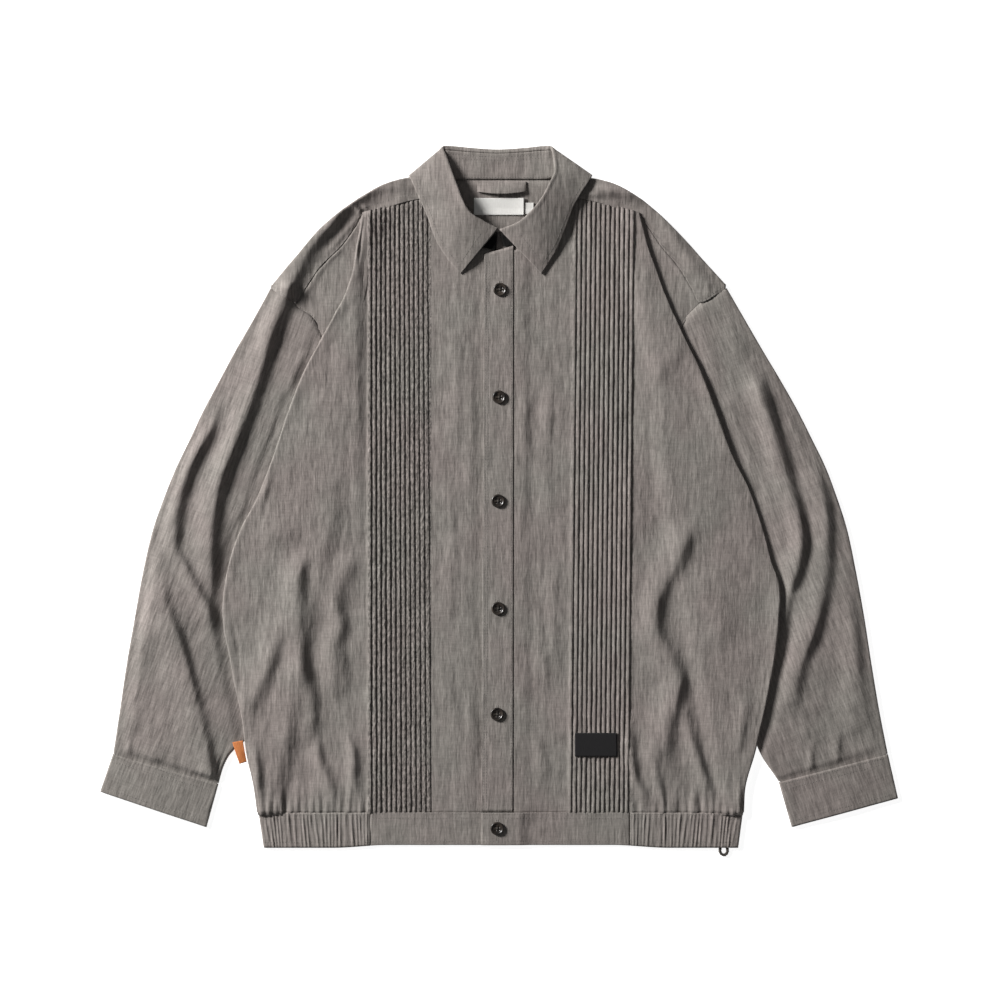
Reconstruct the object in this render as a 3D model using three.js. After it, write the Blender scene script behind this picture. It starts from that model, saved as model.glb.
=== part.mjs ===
import * as THREE from 'three';

// Shirt jacket laid flat on its back and buttoned up, in millimetres.
// +Z is up, +Y runs from hem to collar, and the wearer's left is at +X.
// Places across the body are given as w, the distance outwards from the centre line,
// so that one function makes the wearer's right (side -1) and left (side 1).

// Cloth and clearances
const WALL = 1.2;
const GAP = 0.3;
const HALF = WALL / 2;
const BAND_WALL = 2.0;
const COLLAR_WALL = 1.4;

// Heights of the middle of each layer above the surface that the garment lies on
const Z_FLOOR_LAYER = HALF;
const Z_SLEEVE_TOP = 2.2;
const Z_WING = 2.1;
const Z_UNDERLAP = 2.1;
const Z_FRONT = 2.9;
const Z_RETURN = 4.3;
const Z_OVERHANG = 6.3;
const Z_FOLD = 7.0;

// Levels along the body
const HEM_Y = -334;
const YOKE_SEAM_Y = 205;
const SHOULDER_SEAM_Y = 304;

const clamp = (value, low, high) => Math.min(Math.max(value, low), high);
const smooth = (value) => {
  const t = clamp(value, 0, 1);
  return t * t * (3 - 2 * t);
};
const lerp = THREE.MathUtils.lerp;

// Reads a table: the value of one column where another column has a given value.
function read(table, by, column, at) {
  const rising = table[0][by] < table[table.length - 1][by];
  const rows = rising ? table : [...table].reverse();
  let k = 0;
  while (k < rows.length - 2 && at > rows[k + 1][by]) k += 1;
  const slope = (i) => {
    const a = rows[Math.max(i - 1, 0)];
    const b = rows[Math.min(i + 1, rows.length - 1)];
    return (b[column] - a[column]) / (b[by] - a[by]);
  };
  const span = rows[k + 1][by] - rows[k][by];
  const t = clamp((at - rows[k][by]) / span, 0, 1);
  const h = t * t * (3 - 2 * t);
  const rise = t * (1 - t) * ((1 - t) * slope(k) - t * slope(k + 1)) * span;
  return lerp(rows[k][column], rows[k + 1][column], h) + rise;
}

// Seam and fold lines of each side. At each y: fold is the outer edge of the body front,
// turn is the inner edge of the cloth folded under it, and seam is where that cloth ends,
// at the yoke, the armhole and then the side seam.
const BODY = {
  right: [
    { y: 304, fold: 149.4, turn: 138, seam: 148 },
    { y: 287, fold: 152, turn: 137, seam: 158 },
    { y: 270, fold: 155, turn: 137, seam: 171 },
    { y: 248, fold: 158, turn: 139, seam: 193 },
    { y: 225, fold: 165, turn: 143, seam: 208 },
    { y: 211, fold: 171, turn: 146, seam: 217 },
    { y: 203, fold: 176, turn: 148, seam: 217 },
    { y: 193, fold: 181, turn: 152, seam: 203 },
    { y: 173, fold: 192, turn: 158, seam: 191 },
    { y: 135, fold: 212, turn: 167, seam: 186 },
    { y: 94, fold: 228, turn: 173, seam: 185 },
    { y: 43, fold: 245, turn: 177, seam: 186.5 },
    { y: 0, fold: 262, turn: 180, seam: 189 },
    { y: -30, fold: 278, turn: 186, seam: 196 },
    { y: -64, fold: 290, turn: 193, seam: 203 },
    { y: -102, fold: 297, turn: 200, seam: 210 },
    { y: -135, fold: 297, turn: 206, seam: 216 },
    { y: -165, fold: 291, turn: 212, seam: 222 },
    { y: -193, fold: 286, turn: 218, seam: 228 },
    { y: -230, fold: 278, turn: 226, seam: 235 },
    { y: -273, fold: 272, turn: 235, seam: 244 },
    { y: -305, fold: 265, turn: 241, seam: 250 },
    { y: -334, fold: 261, turn: 246, seam: 255 },
  ],
  left: [
    { y: 304, fold: 149.4, turn: 138, seam: 148 },
    { y: 287, fold: 154, turn: 138, seam: 160 },
    { y: 270, fold: 158, turn: 139, seam: 172 },
    { y: 248, fold: 166, turn: 143, seam: 190 },
    { y: 225, fold: 174, turn: 148, seam: 204 },
    { y: 211, fold: 180, turn: 151, seam: 211 },
    { y: 203, fold: 183, turn: 153, seam: 209 },
    { y: 193, fold: 188, turn: 156, seam: 199 },
    { y: 173, fold: 197, turn: 161, seam: 188.5 },
    { y: 141, fold: 213, turn: 167, seam: 185 },
    { y: 100, fold: 229, turn: 172, seam: 184 },
    { y: 48, fold: 248, turn: 176, seam: 186 },
    { y: 11, fold: 266, turn: 179, seam: 187.5 },
    { y: -37, fold: 282, turn: 187, seam: 197 },
    { y: -64, fold: 289, turn: 193, seam: 203 },
    { y: -90, fold: 298, turn: 198, seam: 208 },
    { y: -115, fold: 299, turn: 203, seam: 213 },
    { y: -160, fold: 295, turn: 211, seam: 221 },
    { y: -214, fold: 285, turn: 222, seam: 232 },
    { y: -240, fold: 279, turn: 228, seam: 237 },
    { y: -270, fold: 272, turn: 235, seam: 244 },
    { y: -305, fold: 262, turn: 241, seam: 250 },
    { y: -334, fold: 260, turn: 246, seam: 255 },
  ],
};

// Front neckline and front yoke seam, from the centre outwards.
const FRONT_TOP = [
  { w: 6, y: 264 },
  { w: 30, y: 272 },
  { w: 44, y: 281 },
  { w: 52, y: 290 },
  { w: 60, y: 305 },
  { w: 64, y: 316 },
  { w: 67, y: 323 },
  { w: 89, y: 321 },
  { w: 108, y: 317 },
  { w: 129, y: 310 },
  { w: 149, y: 304 },
];

// Shoulder edge, where the yoke folds over to the front, and the front end of the yoke
// beyond the body fold, where it reaches the armhole.
const SHOULDER = {
  right: [
    { w: 66, y: 344, low: 325 },
    { w: 95, y: 340, low: 320 },
    { w: 124, y: 337, low: 312 },
    { w: 149, y: 325, low: 304.5 },
    { w: 158, y: 319, low: 289 },
    { w: 172, y: 309, low: 270 },
    { w: 194, y: 290, low: 248 },
    { w: 209, y: 273, low: 226 },
    { w: 218, y: 262, low: 212 },
    { w: 226, y: 253, low: 213 },
    { w: 236, y: 241, low: 219 },
    { w: 245, y: 230, low: 225 },
  ],
  left: [
    { w: 66, y: 344, low: 325 },
    { w: 95, y: 340, low: 320 },
    { w: 123, y: 337, low: 312 },
    { w: 149, y: 323, low: 304.5 },
    { w: 158, y: 316, low: 291 },
    { w: 172, y: 304, low: 271 },
    { w: 191, y: 285, low: 248 },
    { w: 204, y: 271, low: 226 },
    { w: 211, y: 263, low: 212 },
    { w: 219, y: 254, low: 212 },
    { w: 230, y: 242, low: 219 },
    { w: 240, y: 231, low: 224 },
  ],
};

// Tuck strips: inner and outer edge at the yoke seam and at the hem band.
const TUCKS = 13;
const TUCK_RISE = 1.3;
const STRIP = {
  right: { topIn: 78, topOut: 143, hemIn: 74, hemOut: 143 },
  left: { topIn: 77, topOut: 143, hemIn: 71, hemOut: 137 },
};

// Armhole from the shoulder tip to the underarm.
const ARMHOLE = {
  right: [
    [248, 226], [236, 218], [226, 212], [218, 203], [204, 193],
    [192, 173], [187, 135], [186, 86], [188, 40], [190, 0],
  ],
  left: [
    [243, 226], [229, 217], [218, 210], [210, 203], [198, 190],
    [190, 173], [186, 135], [185, 86], [188, 40], [190, 0],
  ],
};

// Outer edge and inner seam of each sleeve, from armhole to cuff.
const SLEEVE_EDGE = {
  right: {
    outer: [
      [248, 226], [266, 193], [285, 160], [302, 128], [319, 96], [334, 64], [348, 35],
      [362, 0], [373, -32], [383, -75], [392, -125], [401, -177], [408, -225], [415, -271],
    ],
    inner: [[190, 0], [215, -60], [240, -130], [262, -200], [283, -262], [302, -303]],
  },
  left: {
    outer: [
      [243, 226], [262, 193], [281, 160], [300, 128], [318, 96], [334, 64], [348, 35],
      [361, 0], [371, -32], [380, -75], [389, -125], [397, -177], [405, -225], [414, -271],
    ],
    inner: [[190, 0], [214, -60], [237, -130], [256, -200], [276, -268], [297, -301]],
  },
};

// Far corners of the cuffs: outer and inner end of the open edge.
const CUFF = {
  right: { outer: [429, -312], inner: [315, -350] },
  left: { outer: [425, -319], inner: [311, -350] },
};

// Cloth folds as ridges: height, and how far they spread to image left and right of
// their line. Lines are in x and y.
const SLEEVE_FOLDS = {
  right: [
    { height: 6.5, left: 16, right: 6,
      line: [[-232, 205], [-248, 170], [-262, 125], [-284, 64], [-303, 10], [-310, -40], [-309, -92]] },
    { height: 4.5, left: 12, right: 5,
      line: [[-317, 72], [-335, 40], [-348, 0], [-355, -50]] },
    { height: 3.5, left: 8, right: 5,
      line: [[-350, -66], [-332, -88], [-318, -106], [-308, -130]] },
    { height: 5.5, left: 14, right: 5,
      line: [[-349, -150], [-338, -185], [-330, -220], [-323, -255], [-312, -296]] },
    { height: 2.5, left: 12, right: 12,
      line: [[-382, -120], [-384, -170], [-390, -220], [-396, -255]] },
  ],
  left: [
    { height: 7.0, left: 10, right: 6,
      line: [[277, 125], [289, 75], [306, 21], [319, -21], [321, -48], [314, -80], [299, -115]] },
    { height: 5.5, left: 9, right: 5,
      line: [[300, -118], [292, -160], [281, -214], [272, -250]] },
    { height: 5.0, left: 16, right: 6,
      line: [[340, 15], [347, -50], [344, -91], [334, -139], [316, -180], [309, -235]] },
    { height: 2.5, left: 12, right: 12,
      line: [[372, -110], [376, -160], [380, -215], [384, -255]] },
  ],
};
const FRONT_FOLDS = {
  right: [
    { height: 2.6, left: 14, right: 6,
      line: [[-170, -55], [-181, -90], [-184, -120], [-184, -160], [-186, -214]] },
    { height: 2.6, left: 10, right: 6,
      line: [[-214, -86], [-222, -105], [-219, -130], [-216, -171], [-209, -222], [-220, -262]] },
    { height: 2.0, left: 12, right: 6,
      line: [[-238, -150], [-246, -175], [-254, -200], [-262, -232], [-266, -300]] },
    { height: 2.0, left: 8, right: 5, line: [[-198, -248], [-195, -275], [-190, -300], [-187, -328]] },
    { height: 2.0, left: 8, right: 5, line: [[-160, -258], [-156, -285], [-156, -326]] },
  ],
  left: [
    { height: 1.6, left: 14, right: 10, line: [[186, 168], [168, 144], [150, 120]] },
    { height: 2.8, left: 14, right: 6,
      line: [[194, -40], [181, -78], [173, -110], [164, -140], [173, -165], [186, -190], [177, -250],
        [177, -312]] },
    { height: 2.2, left: 8, right: 6, line: [[192, -196], [197, -228], [203, -258], [217, -296]] },
    { height: 2.0, left: 6, right: 5, line: [[140, -220], [139, -286], [144, -310], [160, -326]] },
    { height: 1.8, left: 8, right: 6, line: [[250, -236], [246, -285], [236, -326]] },
  ],
};

// Height that a set of folds adds at a point.
function foldRise(folds, x, y) {
  let rise = 0;
  for (const fold of folds) {
    let best = { distance: Infinity };
    const last = fold.line.length - 1;
    for (let k = 0; k < last; k += 1) {
      const [ax, ay] = fold.line[k];
      const [bx, by] = fold.line[k + 1];
      const length = Math.hypot(bx - ax, by - ay);
      const t = clamp(((x - ax) * (bx - ax) + (y - ay) * (by - ay)) / length ** 2, 0, 1);
      const distance = Math.hypot(x - lerp(ax, bx, t), y - lerp(ay, by, t));
      const cross = (bx - ax) * (y - ay) - (by - ay) * (x - ax);
      if (distance < best.distance) best = { distance, cross, along: (k + t) / last };
    }
    const spread = best.cross > 0 ? fold.right : fold.left;
    const taper = smooth(best.along / 0.2) * smooth((1 - best.along) / 0.2);
    rise += fold.height * taper * Math.exp(-((best.distance / spread) ** 2));
  }
  return rise;
}

// One closed skin, put together from strips of triangles between lines of points.
class Skin {
  constructor() {
    this.places = [];
    this.faces = [];
  }

  line(points, stations) {
    return points.map((point, k) => {
      this.places.push(point.x, point.y, point.z);
      return { id: this.places.length / 3 - 1, at: stations[k] };
    });
  }

  triangle(a, b, c) {
    if (a !== b && b !== c && c !== a) this.faces.push(a, b, c);
  }

  strip(a, b) {
    let i = 0;
    let j = 0;
    while (i < a.length - 1 || j < b.length - 1) {
      const nextA = i < a.length - 1 ? a[i + 1].at : Infinity;
      const nextB = j < b.length - 1 ? b[j + 1].at : Infinity;
      if (nextA < nextB || (nextA === nextB && a[i].at <= b[j].at)) {
        this.triangle(a[i].id, b[j].id, a[i + 1].id);
        i += 1;
      } else {
        this.triangle(a[i].id, b[j].id, b[j + 1].id);
        j += 1;
      }
    }
  }

  volume() {
    const [a, b, c] = [new THREE.Vector3(), new THREE.Vector3(), new THREE.Vector3()];
    let sum = 0;
    for (let k = 0; k < this.faces.length; k += 3) {
      a.fromArray(this.places, this.faces[k] * 3);
      b.fromArray(this.places, this.faces[k + 1] * 3);
      c.fromArray(this.places, this.faces[k + 2] * 3);
      sum += a.dot(b.cross(c));
    }
    return sum;
  }

  mesh(name, material) {
    if (this.volume() < 0) this.faces.reverse();
    const geometry = new THREE.BufferGeometry();
    geometry.setAttribute('position', new THREE.Float32BufferAttribute(this.places, 3));
    geometry.setIndex(this.faces);
    geometry.computeVertexNormals();
    const mesh = new THREE.Mesh(geometry, material);
    mesh.name = name;
    return mesh;
  }
}

// The point of a surface(u, v), moved out along its normal by a distance.
function moved(surface, u, v, distance) {
  const step = 1e-3;
  const along = surface(u + step, v).sub(surface(u - step, v));
  const down = surface(u, v + step).sub(surface(u, v - step));
  return surface(u, v).addScaledVector(along.cross(down).normalize(), distance);
}

// A cloth wall around a surface. Each outer and inner column has its place u and the
// stations v where it has points. Relief is added on the outer side alone. A ring's
// last column meets its first again.
function wall(name, material, surface, { outer, inner, thickness = WALL, facing = 1,
  relief = () => 0, ring = 0 }) {
  const skin = new Skin();
  const lines = (columns, side) => columns.map(({ u, rows }) => {
    const points = rows.map((v) => {
      const extra = side > 0 ? relief(u, v) : 0;
      return moved(surface, u, v, side * facing * (thickness / 2 + extra));
    });
    return skin.line(points, rows);
  });
  const out = lines(outer, 1);
  const back = lines(inner, -1);
  const outU = outer.map((column) => column.u);
  const backU = inner.map((column) => column.u);
  if (ring) {
    out.push(out[0]);
    back.push(back[0]);
    outU.push(ring);
    backU.push(ring);
  }
  for (let k = 0; k < out.length - 1; k += 1) skin.strip(out[k], out[k + 1]);
  for (let k = 0; k < back.length - 1; k += 1) skin.strip(back[k + 1], back[k]);
  const end = (columns, us, pick) => columns.map((line, k) => ({ id: pick(line).id, at: us[k] }));
  const first = (line) => line[0];
  const last = (line) => line[line.length - 1];
  skin.strip(end(out, outU, first), end(back, backU, first));
  skin.strip(end(back, backU, last), end(out, outU, last));
  if (!ring) {
    skin.strip(back[0], out[0]);
    skin.strip(last(out), last(back));
  }
  return skin.mesh(name, material);
}

// Evenly spaced values, both ends included.
const spread = (from, to, count) => Array.from({ length: count + 1 }, (_, k) => lerp(from, to, k / count));
const columns = (us, rows) => us.map((u) => ({ u, rows }));

// A flat or gently shaped plate: a wall over a grid.
function plate(name, material, surface, us, vs, options = {}) {
  return wall(name, material, surface, { outer: columns(us, vs), inner: columns(us, vs), ...options });
}

const cloth = new THREE.MeshStandardMaterial({ color: 0x86817a, roughness: 0.92, metalness: 0 });
const darkCloth = new THREE.MeshStandardMaterial({ color: 0x5c5854, roughness: 0.95, metalness: 0 });
const horn = new THREE.MeshStandardMaterial({ color: 0x1d1b1a, roughness: 0.35, metalness: 0 });
const whiteTape = new THREE.MeshStandardMaterial({ color: 0xe9e7e2, roughness: 0.7, metalness: 0 });
const blackTape = new THREE.MeshStandardMaterial({ color: 0x17161a, roughness: 0.7, metalness: 0 });
const orangeTape = new THREE.MeshStandardMaterial({ color: 0xc8642a, roughness: 0.75, metalness: 0 });
const cord = new THREE.MeshStandardMaterial({ color: 0x3a3836, roughness: 0.8, metalness: 0 });

const sides = [
  { key: 'right', side: -1 },
  { key: 'left', side: 1 },
];

const garment = new THREE.Group();

// Back: one flat layer between the yoke seam and the hem band.
function back() {
  const surface = (u, v) => {
    const y = lerp(YOKE_SEAM_Y - GAP, HEM_Y + GAP, v);
    const key = u < 0 ? 'right' : 'left';
    const reach = read(BODY[key], 'y', 'seam', y) - 1;
    return new THREE.Vector3(u * reach, y, Z_FLOOR_LAYER);
  };
  return plate('back', cloth, surface, spread(-1, 1, 4), spread(0, 1, 16), { facing: 1 });
}

// The collar leaf lies under the back of the neck, so the yoke rises over it.
const LEAF_RAISE = 1.9;
function yokeRaise(w, y) {
  const leafEdge = 330 + 10 * (Math.abs(w) / 98) ** 3;
  return LEAF_RAISE * clamp((y - leafEdge + 18) / 16, 0, 1);
}

// Yoke: a floor layer from the back seam up to the neck and shoulders, and a narrow
// layer that folds over each shoulder to the front.
function yoke() {
  const shoulderFold = 1.4;
  const neckY = 342;
  const neckW = [57, 38, 19];
  const shoulderW = [240, 230, 217, 203, 186, 169, 158, 149, 139, 124, 108, 95, 80, 66];
  const stations = [
    ...shoulderW.map((w) => -w),
    ...neckW.map((w) => -w),
    0,
    ...[...neckW].reverse(),
    ...[...shoulderW].reverse(),
  ];
  const floorRows = [0, 0.4, 0.78, 0.9, 1];
  const foldRows = spread(0, 1, 3).slice(1);
  const frontRows = spread(0, 1, 2).slice(1);
  const rows = [
    ...floorRows,
    ...foldRows.map((v) => 1 + v),
    ...frontRows.map((v) => 2 + v),
  ];
  const surface = (x, v) => {
    const key = x < 0 ? 'right' : 'left';
    const w = Math.abs(x);
    if (w < 61) {
      const y = lerp(YOKE_SEAM_Y, neckY, v);
      return new THREE.Vector3(x, y, Z_FLOOR_LAYER + yokeRaise(w, y));
    }
    const table = SHOULDER[key];
    const crest = read(table, 'w', 'y', w) - shoulderFold - HALF;
    const radius = shoulderFold;
    const floorEnd = Math.max(YOKE_SEAM_Y, read(table, 'w', 'low', w) * (w > 218 ? 1 : 0));
    const z = Z_FLOOR_LAYER + yokeRaise(w, crest);
    if (v <= 1) {
      const y = lerp(floorEnd, crest, v);
      return new THREE.Vector3(x, y, Z_FLOOR_LAYER + yokeRaise(w, y));
    }
    if (v <= 2) {
      const turn = (v - 1) * Math.PI;
      return new THREE.Vector3(x, crest + radius * Math.sin(turn), z + radius * (1 - Math.cos(turn)));
    }
    const low = read(table, 'w', 'low', w) + GAP;
    return new THREE.Vector3(x, lerp(crest, low, v - 2), z + 2 * radius);
  };
  const present = (i, j) => j < floorRows.length - 1 || stations[i + 1] <= -66 || stations[i] >= 66;
  return gridWall('yoke', cloth, surface, stations, rows, present);
}

// A wall over a grid of which some cells are left out.
function gridWall(name, material, surface, us, vs, present) {
  const skin = new Skin();
  const ids = [1, -1].map((side) => us.map((u) => {
    const points = vs.map((v) => moved(surface, u, v, side * HALF));
    return skin.line(points, vs).map((place) => place.id);
  }));
  const quad = (a, b, c, d) => {
    skin.triangle(a, b, c);
    skin.triangle(a, c, d);
  };
  const has = (i, j) => i >= 0 && j >= 0 && i < us.length - 1 && j < vs.length - 1 && present(i, j);
  const [top, under] = ids;
  for (let i = 0; i < us.length - 1; i += 1) {
    for (let j = 0; j < vs.length - 1; j += 1) {
      if (!has(i, j)) continue;
      quad(top[i][j], top[i + 1][j], top[i + 1][j + 1], top[i][j + 1]);
      quad(under[i][j], under[i][j + 1], under[i + 1][j + 1], under[i + 1][j]);
      if (!has(i - 1, j)) quad(top[i][j], top[i][j + 1], under[i][j + 1], under[i][j]);
      if (!has(i + 1, j)) quad(top[i + 1][j + 1], top[i + 1][j], under[i + 1][j], under[i + 1][j + 1]);
      if (!has(i, j - 1)) quad(top[i + 1][j], top[i][j], under[i][j], under[i + 1][j]);
      if (!has(i, j + 1)) quad(top[i][j + 1], top[i + 1][j + 1], under[i + 1][j + 1], under[i][j + 1]);
    }
  }
  const used = new Set(skin.faces);
  const rank = new Map([...used].map((id, k) => [id, k]));
  skin.places = [...used].flatMap((id) => skin.places.slice(id * 3, id * 3 + 3));
  skin.faces = skin.faces.map((id) => rank.get(id));
  return skin.mesh(name, material);
}

// Front: from the front edge out over the tuck strip to the body fold, round it, back
// inwards under itself, round a second fold and out to the yoke, armhole and side seam.
// Rows are given by their drop below the yoke seam.
const FRONT_DROP = SHOULDER_SEAM_Y - HEM_Y;
const FRONT_ROWS = [
  0, 17, 34, 56, 79, 93, 101, 111, 131, 160, 195, 230, 265, 300, 334, 367, 394, 419, 444, 472,
  500, 530, 560, 588, 613, FRONT_DROP,
];
const FRONT_ROWS_PLAIN = [0, 34, 79, 160, 265, 367, 472, 560, FRONT_DROP];
const INNER_EDGE = { right: -11, left: 13.6 };
const FOLD_RADIUS = (Z_FOLD - Z_RETURN) / 2;
const TURN_RADIUS = (Z_RETURN - Z_WING) / 2;

function frontHeight(key, side, w, y) {
  const fold = read(BODY[key], 'y', 'fold', y);
  const turn = read(BODY[key], 'y', 'turn', y);
  const over = smooth((w - turn + 28) / 24) * (Z_OVERHANG - Z_FRONT);
  const lip = smooth((w - fold + 16) / 13) * (Z_FOLD - Z_OVERHANG);
  const edge = key === 'right' ? (Z_UNDERLAP - Z_FRONT) : 0.7;
  const lap = edge * smooth((34 - w) / 12);
  const yokeSeam = 0.8 * smooth((y - SHOULDER_SEAM_Y + 30) / 26) * smooth((w - 40) / 20);
  const folds = foldRise(FRONT_FOLDS[key], side * w, y) * smooth((fold - w - 2) / 12);
  return Z_FRONT + over + lip + lap + yokeSeam + folds;
}

function front({ key, side }) {
  const strip = STRIP[key];
  const surface = (u, v) => {
    const y = SHOULDER_SEAM_Y - v;
    const fold = read(BODY[key], 'y', 'fold', y) - HALF - FOLD_RADIUS;
    const turn = read(BODY[key], 'y', 'turn', y) + HALF + TURN_RADIUS;
    const seam = read(BODY[key], 'y', 'seam', y) - 0.5;
    const down = v / FRONT_DROP;
    const stripIn = lerp(strip.topIn, strip.hemIn, down);
    const stripOut = lerp(strip.topOut, strip.hemOut, down);
    let w;
    let z;
    if (u <= 3) {
      const knots = [INNER_EDGE[key], stripIn, stripOut, fold];
      const k = clamp(Math.floor(u), 0, 2);
      w = lerp(knots[k], knots[k + 1], u - k);
      z = frontHeight(key, side, w, y);
    } else if (u <= 4) {
      const angle = (u - 3) * Math.PI;
      w = fold + FOLD_RADIUS * Math.sin(angle);
      z = Z_RETURN + FOLD_RADIUS * (1 + Math.cos(angle));
    } else if (u <= 5) {
      w = lerp(fold, turn, u - 4);
      z = Z_RETURN;
    } else if (u <= 6) {
      const angle = (u - 5) * Math.PI;
      w = turn - TURN_RADIUS * Math.sin(angle);
      z = Z_WING + TURN_RADIUS * (1 + Math.cos(angle));
    } else {
      w = lerp(turn, seam, u - 6);
      z = Z_WING;
    }
    const topY = w < 149 ? read(FRONT_TOP, 'w', 'y', w) - GAP : SHOULDER_SEAM_Y - GAP;
    const shift = (topY - SHOULDER_SEAM_Y) * clamp((y - 200) / (SHOULDER_SEAM_Y - 200), 0, 2);
    const hemShift = GAP * smooth((HEM_Y + 20 - y) / 20);
    return new THREE.Vector3(side * w, y + shift + hemShift, z);
  };
  const edge = INNER_EDGE[key];
  const nearTop = [edge, 22, 36, 46, 53, 59, 63, 67, strip.topIn]
    .map((w) => (w - edge) / (strip.topIn - edge));
  const tuckColumns = spread(0, TUCKS - 1, TUCKS - 1).flatMap((k) => [k / TUCKS, (k + 0.8) / TUCKS]);
  const tuckRelief = (u) => {
    if (u <= 1 || u >= 2) return 0;
    const place = ((u - 1) * TUCKS) % 1;
    return TUCK_RISE * (place < 0.01 || place > 0.99 ? 0.04 : 1);
  };
  const outerFold = spread(2, 3, 9).slice(1);
  const rest = [3.33, 3.67, 4, 5, 5.5, 6, 7];
  const outer = [
    ...columns(nearTop.slice(0, -1), FRONT_ROWS_PLAIN),
    ...columns(tuckColumns.map((t) => 1 + t), FRONT_ROWS_PLAIN),
    ...columns([2, ...outerFold, ...rest], FRONT_ROWS),
  ];
  const inner = [
    ...columns(nearTop.slice(0, -1), FRONT_ROWS_PLAIN),
    ...columns(spread(1, 2, TUCKS).slice(0, -1), FRONT_ROWS_PLAIN),
    ...columns([2, ...outerFold, ...rest], FRONT_ROWS),
  ];
  return wall(`front_${key}`, cloth, surface, { outer, inner, facing: -side, relief: tuckRelief });
}

// Sleeve: a flattened tube. Its first end is the armhole, its last the cuff seam.
const SLEEVE_OUTER_RADIUS = 1.7;
const SLEEVE_INNER_RADIUS = (Z_SLEEVE_TOP - Z_FLOOR_LAYER) / 2;

function plan(points) {
  const curve = new THREE.CatmullRomCurve3(points.map(([w, y]) => new THREE.Vector3(w, y, 0)));
  return (t) => curve.getPointAt(clamp(t, 0, 1));
}

function sleeve({ key, side }) {
  const outerEdge = plan(SLEEVE_EDGE[key].outer);
  const innerSeam = plan(SLEEVE_EDGE[key].inner);
  const armhole = plan(ARMHOLE[key]);
  const section = (t, v) => {
    const start = outerEdge(v);
    const straight = start.clone().lerp(innerSeam(v), t);
    const chord = armhole(0).lerp(armhole(1), t);
    const bow = armhole(t).sub(chord).multiplyScalar((1 - v) ** 2);
    return straight.add(bow);
  };
  const upper = (t, v, place) => {
    const fold = read(BODY[key], 'y', 'fold', clamp(place.y, HEM_Y, SHOULDER_SEAM_Y));
    const showing = smooth((place.x - fold - 1) / 14);
    const fromEdge = t * outerEdge(v).distanceTo(innerSeam(v));
    const roll = 2 * (SLEEVE_OUTER_RADIUS - SLEEVE_INNER_RADIUS) * smooth(1 - fromEdge / 25);
    const ends = smooth(v / 0.1) * smooth((1 - v) / 0.06);
    const inside = smooth((fromEdge - 3) / 14);
    const folds = 1.6 + foldRise(SLEEVE_FOLDS[key], side * place.x, place.y);
    return Z_SLEEVE_TOP + roll + showing * ends * inside * folds;
  };
  const surface = (u, v) => {
    const length = outerEdge(v).distanceTo(innerSeam(v));
    const inwards = innerSeam(v).sub(outerEdge(v)).normalize();
    const tOuter = (SLEEVE_OUTER_RADIUS + HALF) / length;
    const tInner = 1 - (SLEEVE_INNER_RADIUS + HALF) / length;
    let place;
    let z;
    if (u <= 1) {
      place = section(lerp(tInner, tOuter, u), v);
      z = Z_FLOOR_LAYER;
    } else if (u <= 2) {
      const angle = (u - 1) * Math.PI;
      place = section(tOuter, v).addScaledVector(inwards, -SLEEVE_OUTER_RADIUS * Math.sin(angle));
      z = Z_FLOOR_LAYER + SLEEVE_OUTER_RADIUS * (1 - Math.cos(angle));
    } else if (u <= 3) {
      const t = lerp(tOuter, tInner, u - 2);
      place = section(t, v);
      z = upper(t, v, place);
    } else {
      const angle = (u - 3) * Math.PI;
      place = section(tInner, v).addScaledVector(inwards, SLEEVE_INNER_RADIUS * Math.sin(angle));
      z = Z_FLOOR_LAYER + SLEEVE_INNER_RADIUS * (1 + Math.cos(angle));
    }
    return new THREE.Vector3(side * place.x, place.y, z);
  };
  const rows = spread(0, 1, 20);
  const sparse = rows.filter((_, k) => k % 4 === 0);
  const inner = [
    ...columns(spread(0, 1, 2).slice(0, -1), sparse),
    ...columns([...spread(1, 2, 3), ...spread(2, 3, 15).slice(1)], rows),
  ];
  const outer = [...inner, ...columns([3.5], rows)];
  return wall(`sleeve_${key}`, cloth, surface, { outer, inner, facing: side, ring: 4 });
}

// Cuff: a stiffer flattened tube at the end of the sleeve.
const CUFF_WALL = 1.8;
const CUFF_RADIUS = 1.35;
const CUFF_FLOOR = CUFF_WALL / 2;

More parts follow.
